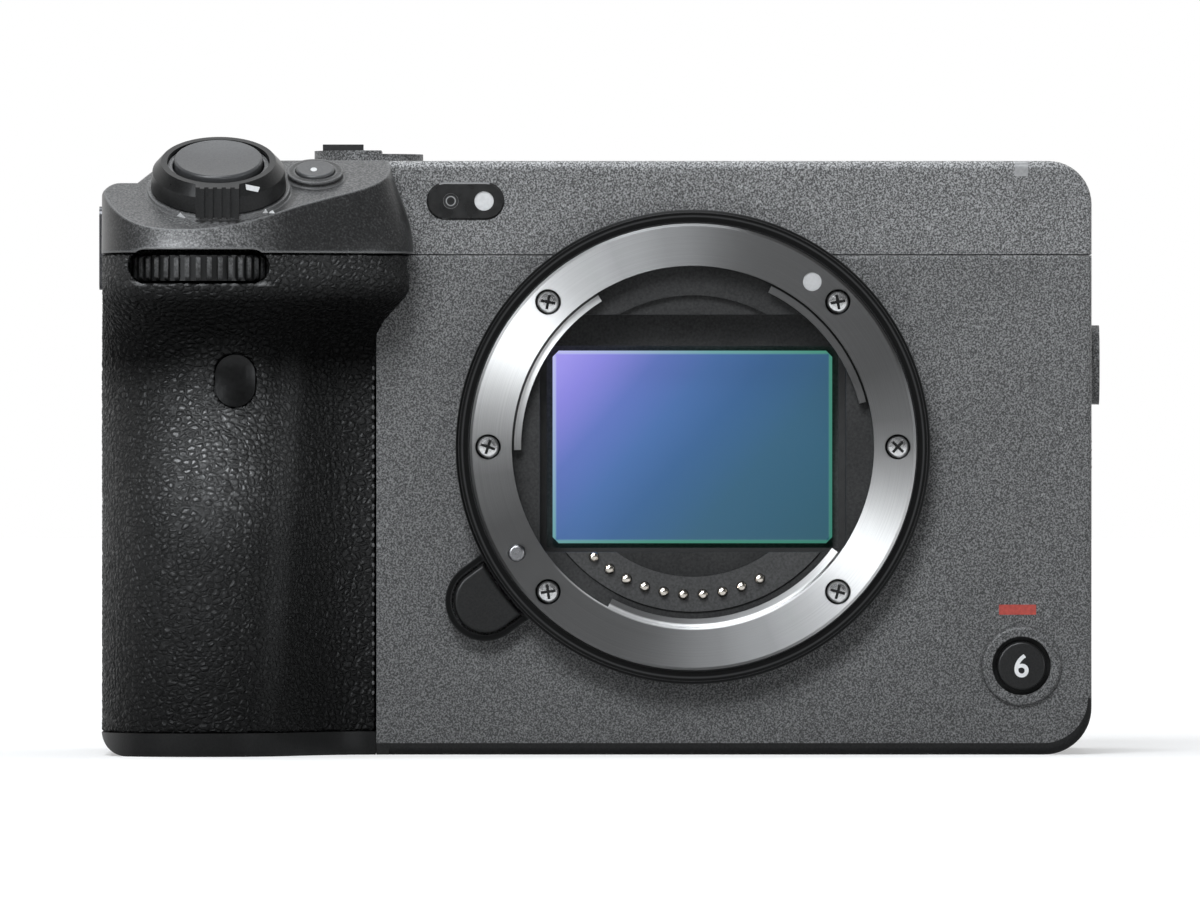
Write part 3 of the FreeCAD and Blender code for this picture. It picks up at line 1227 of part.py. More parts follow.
def grip_crown():
    zone = block(-FAR, FAR, -FAR, FRONT, TOP_SEAM_HEIGHT + SEAM / 2, TOP)
    outside = crown_body(0.0).common(zone).common(below_deck(0.0)).common(SILHOUETTE)
    inner_silhouette = outline_prism(body_corners(CROWN_WALL, -1.0, 0.0, 0.0), -FAR, REAR)
    inner_zone = block(-FAR, FAR, -FAR, FRONT + 2, 0, TOP - CROWN_WALL)
    inside = crown_body(CROWN_WALL).common(inner_zone).common(below_deck(CROWN_WALL)).common(inner_silhouette)
    shell = outside.cut(inside)
    ring_base = rod(RING_BASE_RADIUS, RING_BASE_HEIGHT + CROWN_WALL, (0, 0, -CROWN_WALL))
    collar = rod(COLLAR_OUTER, COLLAR_HEIGHT + CROWN_WALL, (0, 0, -CROWN_WALL))
    stem_boss = rod(BUTTON_STEM + 1.5, 4.0, (0, 0, -4.0))
    small_collar = rod(SMALL_COLLAR_RADIUS, SMALL_COLLAR_HEIGHT + SMALL_BOSS_DEPTH, (0, 0, -SMALL_BOSS_DEPTH))
    shell = join([shell, to_deck(ring_base), to_deck(collar), to_deck(stem_boss),
                  to_small_button(small_collar)])
    shell = shell.common(block(-FAR, FAR, -FAR, FRONT, 0, FAR))
    well = rod(COLLAR_OUTER - COLLAR_WALL, FAR, (0, 0, 0))
    stem_hole = rod(BUTTON_STEM + RUN_GAP, FAR, (0, 0, -FAR / 2))
    small_well = rod(SMALL_CAP_RADIUS + SLIDE_GAP, FAR, (0, 0, -SMALL_CAP_DEPTH - 1.0))
    arch = front_slot().common(block(-FAR, FAR, -FAR, FRONT_DIAL_Y, 0, FAR))
    return take(shell, [to_deck(well), to_deck(stem_hole), to_small_button(small_well), arch])


def zoom_lever():
    waist = LEVER_LOW + (LEVER_TOP - LEVER_LOW) * 0.62
    body = join([cone(LEVER_FOOT_RADIUS, LEVER_WAIST_RADIUS, waist - LEVER_LOW, (0, 0, LEVER_LOW)),
                 cone(LEVER_WAIST_RADIUS, LEVER_RIM_RADIUS, LEVER_TOP - waist, (0, 0, waist))])
    half = LEVER_TAB_WIDTH / 2
    tab_profile = [V(0, -LEVER_TAB_REACH, LEVER_LOW), V(0, 0, LEVER_LOW), V(0, 0, LEVER_TOP),
                   V(0, -LEVER_RIM_RADIUS - 0.5, LEVER_TOP), V(0, -LEVER_TAB_REACH, LEVER_LOW)]
    tab = Part.Face(Part.makePolygon(tab_profile)).extrude(V(LEVER_TAB_WIDTH, 0, 0))
    tab.translate(V(-half, 0, 0))
    ridges = []
    pitch = LEVER_TAB_WIDTH / LEVER_RIDGES
    for index in range(LEVER_RIDGES):
        x = -half + pitch * (index + 0.75)
        strip = Part.Face(Part.makePolygon(tab_profile)).extrude(V(pitch / 2, 0, 0))
        strip.translate(V(x - pitch / 4, -LEVER_RIDGE_DEPTH, 0))
        keep = block(-FAR, FAR, -FAR, -LEVER_RIM_RADIUS + 0.2, LEVER_LOW, LEVER_TOP)
        ridges.append(strip.common(keep))
    ring = join([body, tab] + ridges)
    return to_deck(ring.cut(rod(COLLAR_OUTER + SLIDE_GAP, FAR, (0, 0, -1))))


def release_button():
    cap = rod(BUTTON_RADIUS, BUTTON_TOP - BUTTON_LOW, (0, 0, BUTTON_LOW))
    edges = [edge for edge in cap.Edges if edge.BoundBox.ZMin > BUTTON_TOP - 0.01]
    cap = cap.makeFillet(0.4, edges)
    dish_radius = (BUTTON_RADIUS ** 2 + BUTTON_DISH ** 2) / (2 * BUTTON_DISH)
    dish = Part.makeSphere(dish_radius, V(0, 0, BUTTON_TOP + dish_radius - BUTTON_DISH))
    stem = rod(BUTTON_STEM, BUTTON_STEM_LENGTH, (0, 0, BUTTON_LOW - BUTTON_STEM_LENGTH))
    return to_deck(cap.cut(dish).fuse(stem).removeSplitter())


def deck_button():
    cap = rod(SMALL_CAP_RADIUS, SMALL_CAP_DEPTH + SMALL_CAP_HEIGHT, (0, 0, -SMALL_CAP_DEPTH))
    edges = [edge for edge in cap.Edges if edge.BoundBox.ZMin > SMALL_CAP_HEIGHT - 0.01]
    return to_small_button(cap.makeFillet(0.3, edges))


# Top cover and what sits on it
def lamp_hole():
    hole = slab(pill(LAMP_WIDTH, LAMP_HEIGHT), FRONT_REACH - WALL - 1, FRONT_REACH + 1)
    return to_front(hole, LAMP_X, LAMP_Z)


def tally_slot():
    half = TALLY_WIDTH / 2
    return block(RECORD_X - half, RECORD_X + half, FRONT - 1, FRONT + TALLY_LENGTH, TOP - TALLY_DROP, TOP + 1)


def rear_dial_room():
    low = REAR_DIAL_LOW - FREE_GAP
    return rod(REAR_DIAL_RADIUS + 0.4, REAR_DIAL_HEIGHT + 2 * FREE_GAP, (REAR_DIAL_X, REAR_DIAL_Y, low))


def shoe_recess():
    return block(-SHOE_HALF_WIDTH, SHOE_HALF_WIDTH, SHOE_FRONT_Y, FAR, TOP - SHOE_RECESS, TOP + 1)


def bush_seat(x, y, length, radius):
    return rod(radius, length + 1, (x, y, TOP - length))


def lug_seat():
    return rod(LUG_RIVET, 3.5, (LEFT - 1, (LUG_FRONT_Y + LUG_BACK_Y) / 2, LUG_LOW + 1.9), (1, 0, 0))


def lug_rivet_hole():
    return rod(LUG_RIVET, 4.0, (LEFT - 1, (LUG_FRONT_Y + LUG_BACK_Y) / 2, LUG_TOP - 2.4), (1, 0, 0))


def top_cover():
    zone = block(-FAR, FAR, FRONT - 1, FAR, TOP_SEAM_HEIGHT + SEAM / 2, FAR)
    shell = CASING.common(zone)
    shoe_box = block(-SHOE_HALF_WIDTH - WALL, SHOE_HALF_WIDTH + WALL, SHOE_FRONT_Y - WALL, REAR - WALL / 2,
                     TOP - SHOE_RECESS - WALL, TOP - WALL / 2)
    pin = rod(REAR_DIAL_PIN, TOP - WALL / 2 - REAR_DIAL_LOW, (REAR_DIAL_X, REAR_DIAL_Y, REAR_DIAL_LOW))
    boss = rod(SWITCH_BOSS, SWITCH_SPINDLE_LENGTH, (SWITCH_X, SWITCH_Y, TOP - SWITCH_SPINDLE_LENGTH))
    dial_slot = rear_dial_room().common(block(-FAR, FAR, REAR - REAR_EDGE_ROUND - 2, FAR, 0, FAR))
    body = join([shell, shoe_box, boss])
    tools = [shoe_recess(), lamp_hole(), tally_slot(), dial_slot, lug_rivet_hole(),
             rod(SWITCH_SPINDLE + RUN_GAP, FAR, (SWITCH_X, SWITCH_Y, TOP - SWITCH_SPINDLE_LENGTH - 1))]
    for x, y in TOP_THREADS:
        tools.append(bush_seat(x, y, BUSH_LENGTH, BUSH_OUTER))
    body = take(body, tools + mount_passages())
    return join([body, pin])


def rear_dial():
    dial = wheel_blank(REAR_DIAL_RADIUS, REAR_DIAL_HEIGHT, DIAL_RIBS, DIAL_RIB_DEPTH)
    dial = dial.cut(rod(REAR_DIAL_PIN + RUN_GAP, FAR, (0, 0, -1)))
    return turned(dial, (0, 0, 1), 0, (REAR_DIAL_X, REAR_DIAL_Y, REAR_DIAL_LOW))


def power_switch():
    low = TOP + SWITCH_LIFT
    disc = rod(SWITCH_RADIUS, SWITCH_BASE_TOP - SWITCH_LIFT, (SWITCH_X, SWITCH_Y, low))
    pad = rod(SWITCH_RADIUS, SWITCH_PAD_TOP - SWITCH_LIFT, (SWITCH_X, SWITCH_Y, low))
    pad = pad.common(block(-FAR, SWITCH_X + SWITCH_PAD_REACH, -FAR, FAR, 0, FAR))
    handle = block(SWITCH_X - SWITCH_HANDLE_REACH, SWITCH_X - SWITCH_HANDLE_START,
                   SWITCH_Y - SWITCH_HANDLE_HALF, SWITCH_Y + SWITCH_HANDLE_HALF, low, TOP + SWITCH_HANDLE_TOP)
    spindle = rod(SWITCH_SPINDLE, SWITCH_SPINDLE_LENGTH, (SWITCH_X, SWITCH_Y, low - SWITCH_SPINDLE_LENGTH))
    return join([disc, pad, handle, spindle])


def lamp_spots(low, high):
    return [to_front(rod(LENS_LEFT_RADIUS, high - low, (0, 0, low)), LAMP_X + LENS_LEFT_OFFSET, LAMP_Z),
            to_front(rod(LENS_RIGHT_RADIUS, high - low, (0, 0, low)), LAMP_X + LENS_RIGHT_OFFSET, LAMP_Z)]


def lamp_window():
    pane = slab(pill(LAMP_WIDTH, LAMP_HEIGHT), FRONT_REACH - WALL, FRONT_REACH + LAMP_PROUD)
    edges = [edge for edge in pane.Edges if edge.BoundBox.ZMin > FRONT_REACH + LAMP_PROUD - 0.01]
    pane = to_front(pane.makeChamfer(0.25, edges), LAMP_X, LAMP_Z)
    return take(pane, lamp_spots(FRONT_REACH - WALL - 1, FRONT_REACH + 1))


def lamp_lenses():
    return Part.makeCompound(lamp_spots(FRONT_REACH - WALL, FRONT_REACH + LAMP_PROUD / 2))


def tally_lamp():
    return tally_slot().common(OUTER)


def accessory_shoe():
    floor = TOP - SHOE_RECESS
    body = block(-SHOE_HALF_WIDTH, SHOE_HALF_WIDTH, SHOE_FRONT_Y, SHOE_BACK_Y, floor,
                 floor + SHOE_PLATE + SHOE_SLOT_HEIGHT + SHOE_RAIL)
    slot = block(-SHOE_SLOT_HALF, SHOE_SLOT_HALF, SHOE_FRONT_Y + 1.2, FAR, floor + SHOE_PLATE,
                 floor + SHOE_PLATE + SHOE_SLOT_HEIGHT)
    mouth = block(-SHOE_MOUTH_HALF, SHOE_MOUTH_HALF, SHOE_FRONT_Y + 1.2, FAR, floor + SHOE_PLATE, FAR)
    return take(body, [slot, mouth])


def bush(x, y, z, outer, bore, length, depth):
    body = rod(outer, length, (x, y, z - length))
    return body.cut(rod(bore, depth + 1, (x, y, z - depth)))


def thread_bushes():
    bushes = [bush(x, y, TOP, BUSH_OUTER, TRIPOD_BORE, BUSH_LENGTH, BUSH_LENGTH - BUSH_FLOOR)
              for x, y in TOP_THREADS]
    tripod = rod(TRIPOD_BUSH, TRIPOD_DEPTH + BUSH_FLOOR, (0, 0, 0))
    bushes.append(tripod.cut(rod(TRIPOD_BORE, TRIPOD_DEPTH + 1, (0, 0, -1))))
    side_x = RIGHT + SIDE_PILL_PROUD
    side = rod(SIDE_BUSH_OUTER, SIDE_BORE_DEPTH + BUSH_FLOOR,
               (side_x - SIDE_BORE_DEPTH - BUSH_FLOOR, SIDE_BUSH_Y, SIDE_BUSH_Z), (1, 0, 0))
    bushes.append(side.cut(rod(TRIPOD_BORE, SIDE_BORE_DEPTH + 1,
                               (side_x - SIDE_BORE_DEPTH, SIDE_BUSH_Y, SIDE_BUSH_Z), (1, 0, 0))))
    return Part.makeCompound(bushes)


def strap_lugs():
    plate = block(LEFT - LUG_PROUD, LEFT, LUG_FRONT_Y, LUG_BACK_Y, LUG_LOW, LUG_TOP)
    across = [edge for edge in plate.Edges if abs(edge.Length - LUG_PROUD) < 1e-6]
    plate = plate.makeFillet(1.2, across)
    slot = block(LEFT - 1, LEFT, LUG_FRONT_Y + 1.4, LUG_BACK_Y - 1.4, (LUG_LOW + LUG_TOP) / 2 - LUG_SLOT / 2,
                 (LUG_LOW + LUG_TOP) / 2 + LUG_SLOT / 2)
    lug = join([plate.cut(slot), lug_seat().common(block(LEFT - LUG_PROUD, FAR, -FAR, FAR, 0, FAR)),
                lug_rivet_hole().common(block(LEFT - LUG_PROUD, FAR, -FAR, FAR, 0, FAR))])
    return lug


# Doors: a flat panel whose hinge edge is rounded about the middle of its thickness,
# with a stub pin at each end. Drawn with the hinge along +Y at x = 0, the panel towards -X
# and its outside face at z = thickness / 2.
def door_panel(width, length, thickness, corner):
    half = thickness / 2
    panel = slab(rectangle(-width + half, 0, 0, length), -half, half)
    upright = [edge for edge in panel.Edges
               if abs(edge.Length - thickness) < 1e-6 and edge.CenterOfMass.x < -1]
    panel = panel.makeFillet(corner, upright)
    barrel = rod(half, length, (0, 0, 0), (0, 1, 0))
    stubs = rod(STUB_RADIUS, length + 2 * STUB_LENGTH, (0, -STUB_LENGTH, 0), (0, 1, 0))
    return join([panel, barrel, stubs])


def door_recess(width, length, thickness):
    half = thickness / 2
    gap = PANEL_GAP
    room = block(-width + half - gap, half + gap, -gap, length + gap, -half - SLIDE_GAP, half + 2)
    stub_length = length + 2 * STUB_LENGTH + 2 * SLIDE_GAP
    stubs = rod(STUB_RADIUS + RUN_GAP, stub_length, (0, -STUB_LENGTH - SLIDE_GAP, 0), (0, 1, 0))
    return join([room, stubs])


def finger_notch(width, length, thickness):
    return rod(1.6, 3.0, (-width + thickness / 2 - 0.9, length / 2, -thickness / 2 + 0.55))


# The far side's doors hang on an upright axis at their rear edge
def far_side(shape, low):
    turn_up = turned(shape, (1, 0, 0), 90, (0, 0, 0))
    outwards = turned(turn_up, (0, 0, 1), 90, (0, 0, 0))
    return turned(outwards, (0, 0, 1), 0,
                  (RIGHT - DOOR_THICKNESS / 2, SIDE_DOOR_BACK_Y - DOOR_THICKNESS / 2, low))


def side_door(front_y, low, top):
    width = SIDE_DOOR_BACK_Y - front_y
    panel = door_panel(width, top - low, DOOR_THICKNESS, 1.0)
    return far_side(panel.cut(finger_notch(width, top - low, DOOR_THICKNESS)), low)


def side_recess(front_y, low, top):
    return far_side(door_recess(SIDE_DOOR_BACK_Y - front_y, top - low, DOOR_THICKNESS), low)


def audio_door():
    return side_door(AUDIO_FRONT_Y, AUDIO_LOW, AUDIO_TOP)


def video_door():
    return side_door(VIDEO_FRONT_Y, VIDEO_LOW, VIDEO_TOP)


# The card door hangs on an upright axis at its rear edge on the grip side
def grip_side(shape, low):
    turn_up = turned(shape, (1, 0, 0), 90, (0, 0, 0))
    mirrored = turn_up.mirror(V(0, 0, 0), V(0, 1, 0))
    outwards = turned(mirrored, (0, 0, 1), 90, (0, 0, 0))
    return turned(outwards, (0, 0, 1), 0,
                  (LEFT + DOOR_THICKNESS / 2, CARD_DOOR_BACK_Y - DOOR_THICKNESS / 2, low))


def card_door():
    width = CARD_DOOR_BACK_Y - CARD_DOOR_FRONT_Y
    length = CARD_DOOR_TOP - CARD_DOOR_LOW
    panel = door_panel(width, length, DOOR_THICKNESS, 1.0)
    return grip_side(panel.cut(finger_notch(width, length, DOOR_THICKNESS)), CARD_DOOR_LOW)


def card_recess():
    width = CARD_DOOR_BACK_Y - CARD_DOOR_FRONT_Y
    return grip_side(door_recess(width, CARD_DOOR_TOP - CARD_DOOR_LOW, DOOR_THICKNESS), CARD_DOOR_LOW)


# Sockets behind the far side's doors, each opening towards +X
def socket_pad(front_y, low, top):
    inner = RIGHT - WALL
    return block(inner - PAD_THICKNESS, inner, front_y - PAD_MARGIN, SIDE_DOOR_BACK_Y + PAD_MARGIN,
                 low - PAD_MARGIN, top + PAD_MARGIN)


def pad_face():
    return RIGHT - WALL - PAD_THICKNESS


def to_far_side(shape, y, z):
    return turned(shape, (0, 1, 0), 90, (pad_face(), y, z))


# In this frame x runs down the side, y runs to the rear and z points out of the socket
def jack_shapes(z):
    y = SIDE_DOOR_BACK_Y - JACK_INSET
    body = to_far_side(rod(JACK_OUTER, SOCKET_DEPTH, (0, 0, -SOCKET_DEPTH)), y, z)
    bore = to_far_side(rod(JACK_BORE, FAR, (0, 0, -SOCKET_DEPTH + 1)), y, z)
    return body, bore, None


def flat_socket(width, height, y, z, corner, tongue_height):
    half_width = width / 2 + SOCKET_WALL
    half_height = height / 2 + SOCKET_WALL
    outside = rectangle(-half_width, half_width, -half_height, half_height, corner)
    inside = rectangle(-width / 2, width / 2, -height / 2, height / 2, corner)
    body = to_far_side(slab(outside, -SOCKET_DEPTH, 0), y, z)
    bore = to_far_side(slab(inside, -SOCKET_DEPTH + 1, FAR), y, z)
    half = tongue_height / 2
    reach = width / 2 - 1.2
    tongue = to_far_side(block(-reach, reach, -half, half, -SOCKET_DEPTH + 0.5, -0.8), y, z)
    return body, bore, tongue


def all_sockets():
    sockets = [jack_shapes(AUDIO_MIDDLE + side * JACK_SPACING / 2) for side in (-1, 1)]
    sockets.append(flat_socket(WIDE_SOCKET_WIDTH, WIDE_SOCKET_HEIGHT, SIDE_DOOR_BACK_Y - WIDE_SOCKET_INSET,
                               VIDEO_MIDDLE, 0.5, 0.9))
    for side in (-1, 1):
        socket_y = SIDE_DOOR_BACK_Y - SMALL_SOCKET_INSET
        sockets.append(flat_socket(SMALL_SOCKET_WIDTH, SMALL_SOCKET_HEIGHT, socket_y,
                                   VIDEO_MIDDLE + side * SMALL_SOCKET_SPACING / 2,
                                   SMALL_SOCKET_HEIGHT / 2 - 0.01, 0.7))
    return sockets


def connectors():
    shells = []
    for body, bore, tongue in all_sockets():
        shell = body.cut(bore)
        if tongue is not None:
            shell = shell.fuse(tongue).removeSplitter()
        shells.append(shell)
    back = pad_face() - SOCKET_DEPTH
    board = block(back - SIDE_BOARD_THICKNESS, back, VIDEO_FRONT_Y, SIDE_DOOR_BACK_Y,
                  VIDEO_LOW + 1, AUDIO_TOP)
    return Part.makeCompound(shells + [board])


def front_cover():
    zone = block(SPLIT_X + SEAM / 2, FAR, FRONT - 1, COVER_SPLIT_Y - SEAM / 2, -1, TOP_SEAM_HEIGHT - SEAM / 2)
    shell = CASING.common(zone).common(COVER_ZONE)
    pads = [socket_pad(AUDIO_FRONT_Y, AUDIO_LOW, AUDIO_TOP), socket_pad(VIDEO_FRONT_Y, VIDEO_LOW, VIDEO_TOP)]
    collar = rod(RECORD_COLLAR, RECORD_COLLAR_PROUD + 0.2, (0, 0, FRONT_REACH - 0.2))
    rim_edges = [edge for edge in collar.Edges if edge.BoundBox.ZMin > FRONT_REACH]
    collar = collar.makeFillet(RECORD_COLLAR_ROUND, rim_edges)
    collar = to_front(collar, RECORD_X, RECORD_Z)
    boss = to_front(rod(RECORD_FLANGE + 1.0, 2.0, (0, 0, FRONT_REACH - WALL - 2.0)), RECORD_X, RECORD_Z)
    pill_shape = capsule((-SIDE_PILL_HALF + SIDE_PILL_RADIUS, 0), (SIDE_PILL_HALF - SIDE_PILL_RADIUS, 0),
                         SIDE_PILL_RADIUS, -0.5, SIDE_PILL_PROUD)
    side_pill = turned(pill_shape, (0, 1, 0), 90, (RIGHT, SIDE_BUSH_Y, SIDE_BUSH_Z))
    body = join([shell] + pads + [collar, boss, side_pill])
    record_hole = to_front(rod(RECORD_HOLE, FAR, (0, 0, 0)), RECORD_X, RECORD_Z)
    room_low = FRONT_REACH - WALL - RECORD_SEAT - RECORD_TRAVEL_ROOM
    room_height = RECORD_TRAVEL_ROOM + RECORD_FLANGE_THICKNESS + RECORD_SEAT
    record_room = to_front(rod(RECORD_FLANGE + FREE_GAP, room_height, (0, 0, room_low)), RECORD_X, RECORD_Z)
    bush_way = rod(SIDE_BUSH_OUTER, FAR, (RIGHT - 12, SIDE_BUSH_Y, SIDE_BUSH_Z), (1, 0, 0))
    tools = mount_passages() + [record_hole, record_room, bush_way, rod(TRIPOD_BUSH, FAR, (0, 0, -1)),
                                side_recess(AUDIO_FRONT_Y, AUDIO_LOW, AUDIO_TOP),
                                side_recess(VIDEO_FRONT_Y, VIDEO_LOW, VIDEO_TOP)]
    for socket_body, bore, tongue in all_sockets():
        tools.append(bore)
    return take(body, tools + base_screw_holes())


def record_button():
    top = FRONT_REACH + RECORD_PROUD
    flange_low = FRONT_REACH - WALL - RECORD_SEAT
    cap = rod(RECORD_CAP, top - flange_low, (0, 0, flange_low))
    edges = [edge for edge in cap.Edges if edge.BoundBox.ZMin > top - 0.01]
    flange = rod(RECORD_FLANGE, RECORD_FLANGE_THICKNESS, (0, 0, flange_low))
    return to_front(join([cap.makeFillet(0.4, edges), flange]), RECORD_X, RECORD_Z)


# Rear cover with the control face, the monitor's pocket and its hinge ears
def rear_hole(radius, x, z, low, high):
    return to_rear(rod(radius, high - low, (0, 0, low)), x, z)


def hinge_ears():
    parts = []
    for low in (EAR_LOW, EAR_TOP - EAR_HEIGHT):
        parts.append(rod(HINGE_BARREL, EAR_HEIGHT, (HINGE_X, HINGE_Y, low)))
        parts.append(block(HINGE_X - EAR_HALF_WIDTH, HINGE_X + EAR_HALF_WIDTH, POCKET_Y - WALL / 2, HINGE_Y,
                           low, low + EAR_HEIGHT))
    parts.append(rod(HINGE_PIN, EAR_TOP - EAR_LOW, (HINGE_X, HINGE_Y, EAR_LOW)))
    return parts


def vents():
    slots = []
    for index in range(VENT_COUNT):
        low = VENT_LOW + VENT_PITCH * index
        slots.append(block(RIGHT - WALL - 1, RIGHT + 1, VENT_FRONT_Y, VENT_BACK_Y, low, low + VENT_HEIGHT))
    return slots


def button_bosses():
    inner = REAR - WALL
    depth = REAR_BUTTON_TRAVEL_ROOM + 1.4
    return [rear_hole(REAR_BUTTON_FLANGE + 1.0, x, z, inner - depth, inner) for x, z in REAR_BUTTONS]


def button_wells():
    inner = REAR - WALL
    wells = []
    for x, z in REAR_BUTTONS:
        wells.append(rear_hole(REAR_BUTTON + SLIDE_GAP, x, z, inner - 1, FAR))
        well_front = inner - REAR_BUTTON_TRAVEL_ROOM - 0.8
        wells.append(rear_hole(REAR_BUTTON_FLANGE + SLIDE_GAP, x, z, well_front, inner))
    return wells


def rear_cover():
    zone = block(-FAR, FAR, COVER_SPLIT_Y + SEAM / 2, FAR, -1, TOP_SEAM_HEIGHT - SEAM / 2)
    low_left = block(-FAR, SPLIT_X - SEAM / 2, -FAR, FAR, -1, BASE_THICKNESS + 1)
    shell = CASING.common(zone)
    shell = join([shell.common(COVER_ZONE), shell.common(low_left)])
    inner = REAR - WALL
    card_pad = block(LEFT + WALL, READER_LEFT, CARD_DOOR_FRONT_Y - PAD_MARGIN, CARD_DOOR_BACK_Y + PAD_MARGIN,
                     CARD_DOOR_LOW - PAD_MARGIN, CARD_DOOR_TOP + PAD_MARGIN)
    hub_boss = rear_hole(HUB_BORE + 2.0, WHEEL_X, WHEEL_Z, inner - 2.0, inner)
    hub = rear_hole(WHEEL_INNER - SLIDE_GAP, WHEEL_X, WHEEL_Z, inner, REAR + HUB_PROUD)
    ribs = [block(x, x + READER_RIB, READER_FRONT_Y + READER_DEPTH, inner, READER_RIB_LOW, READER_TOP - 2)
            for x in (READER_LEFT + READER_RIB, READER_RIGHT - 2 * READER_RIB)]
    stick_seat = rear_hole(STICK_HOLE + 1.2, STICK_X, STICK_Z, inner - 3.2, inner)
    body = join([shell, card_pad, hub_boss, stick_seat] + ribs + button_bosses())
    relief = rod(HINGE_RELIEF, MONITOR_TOP - MONITOR_LOW + 2, (HINGE_X, HINGE_Y, POCKET_LOW))
    wheel_room = tube(WHEEL_OUTER + SLIDE_GAP, 0.1, FAR, (0, 0, REAR - WHEEL_RECESS))
    wheel_room = to_rear(wheel_room, WHEEL_X, WHEEL_Z)
    card_window = block(LEFT - 1, READER_LEFT + 1, READER_FRONT_Y + 0.4, READER_FRONT_Y + READER_DEPTH - 0.4,
                        CARD_SLOT_LOW - CARD_WINDOW_MARGIN, CARD_SLOT_TOP + CARD_WINDOW_MARGIN)
    ball_room = to_rear(Part.makeSphere(STICK_BALL + SLIDE_GAP, V(0, 0, inner - 0.2)), STICK_X, STICK_Z)
    stick_mouth = turned(cone(STICK_STEM + 0.5, STICK_HOLE, WALL + 0.4, (0, 0, 0)), (1, 0, 0), -90,
                         (STICK_X, inner - 0.2, STICK_Z))
    pin_room = rod(STICK_PIN + RUN_GAP, 2 * (STICK_PIN_REACH + SLIDE_GAP),
                   (STICK_X - STICK_PIN_REACH - SLIDE_GAP, inner - 0.2, STICK_Z), (1, 0, 0))
    tools = [relief, wheel_room, card_recess(), card_window, ball_room, pin_room, stick_mouth,
             rod(TRIPOD_BUSH, FAR, (0, 0, -1))]
    body = take(body, tools + vents() + battery_way() + button_wells())
    hub_bore = rear_hole(HUB_BORE, WHEEL_X, WHEEL_Z, inner - 1.0, FAR)
    body = join([body, hub] + hinge_ears())
    hub_room = rear_hole(HUB_BORE + 0.9, WHEEL_X, WHEEL_Z, inner - 1.0, inner + 0.2)
    return take(body, [hub_bore, hub_room] + base_screw_holes())


def control_wheel():
    low = -WHEEL_RECESS + SLIDE_GAP
    height = WHEEL_PROUD - low
    wheel = wheel_blank(WHEEL_OUTER, height, WHEEL_GROOVES, 0.3)
    edges_cut = cone(WHEEL_OUTER + 0.4, WHEEL_OUTER - 0.5, 0.9, (0, 0, height - 0.9))
    keep = join([rod(WHEEL_OUTER + 1, height - 0.9, (0, 0, 0)), edges_cut])
    dish = cone(WHEEL_INNER + 0.6, WHEEL_OUTER - 1.6, 0.4, (0, 0, height - 0.4))
    wheel = wheel.common(keep).cut(dish)
    wheel = wheel.cut(rod(WHEEL_INNER, FAR, (0, 0, -1)))
    return turned(wheel, (1, 0, 0), -90, (WHEEL_X, REAR + low, WHEEL_Z))


def wheel_button():
    inner = REAR - WALL
    top = REAR + WHEEL_BUTTON_PROUD
    low = inner - 0.2
    cap = rod(WHEEL_BUTTON, top - low, (0, 0, low))
    edges = [edge for edge in cap.Edges if edge.BoundBox.ZMin > top - 0.01]
    flange = rod(WHEEL_BUTTON + 0.7, 0.35, (0, 0, low))
    return to_rear(join([cap.makeFillet(0.4, edges), flange]), WHEEL_X, WHEEL_Z)


def joystick():
    inner = REAR - WALL
    centre = inner - 0.2
    top = REAR + STICK_PROUD
    ball = Part.makeSphere(STICK_BALL, V(0, 0, centre))
    ball = ball.common(rod(STICK_BALL + 1, FAR, (0, 0, centre - STICK_BALL * 0.8)))
    stem = rod(STICK_STEM, top - centre, (0, 0, centre))
    cap = rod(STICK_CAP, STICK_CAP_HEIGHT, (0, 0, top - STICK_CAP_HEIGHT))
    edges = [edge for edge in cap.Edges if edge.BoundBox.ZMin > top - 0.01]
    cap = cap.makeFillet(0.6, edges)
    dish = Part.makeSphere(STICK_DISH_RADIUS, V(0, 0, top + STICK_DISH_RADIUS - STICK_DISH))
    pin = rod(STICK_PIN, 2 * STICK_PIN_REACH, (-STICK_PIN_REACH, 0, centre), (1, 0, 0))
    return to_rear(join([ball, pin, stem, cap]).cut(dish), STICK_X, STICK_Z)


def rear_button(x, z):
    inner = REAR - WALL
    top = REAR + REAR_BUTTON_PROUD
    cap = rod(REAR_BUTTON, top - inner + 0.6, (0, 0, inner - 0.6))
    edges = [edge for edge in cap.Edges if edge.BoundBox.ZMin > top - 0.01]
    flange = rod(REAR_BUTTON_FLANGE, 0.5, (0, 0, inner - 0.6))
    return to_rear(join([cap.makeFillet(0.3, edges), flange]), x, z)


def menu_button():
    return rear_button(MENU_X, MENU_Z)


def play_button():
    return rear_button(PLAY_X, PLAY_Z)


# Base plate
def base_screw_holes():
    holes = []
    for x, y in BASE_SCREWS:
        holes.append(rod(BASE_SCREW_SHANK, CAVITY_FLOOR + 1, (x, y, -1)))
        holes.append(rod(BASE_SCREW_HEAD, BASE_SCREW_HEAD_DEPTH + 1, (x, y, -1)))
    return holes


def base_plate():
    plate = OUTER.cut(COVER_ZONE).common(block(SPLIT_X + SEAM / 2, FAR, -FAR, FAR, -1, FAR))
    tools = base_screw_holes() + [rod(TRIPOD_BUSH, FAR, (0, 0, -1))]
    return take(plate, tools)


def case_screws():
    screws = []
    for x, y in BASE_SCREWS:
        head = rod(BASE_SCREW_HEAD, BASE_SCREW_HEAD_DEPTH - 0.05, (x, y, 0.05))
        shank = rod(BASE_SCREW_SHANK, CAVITY_FLOOR - BASE_SCREW_HEAD_DEPTH, (x, y, BASE_SCREW_HEAD_DEPTH))
        cross = join([block(x - 1, x + 1, y - 0.2, y + 0.2, 0, 0.45),
                      block(x - 0.2, x + 0.2, y - 1, y + 1, 0, 0.45)])
        screws.append(join([head, shank]).cut(cross))
    return Part.makeCompound(screws)


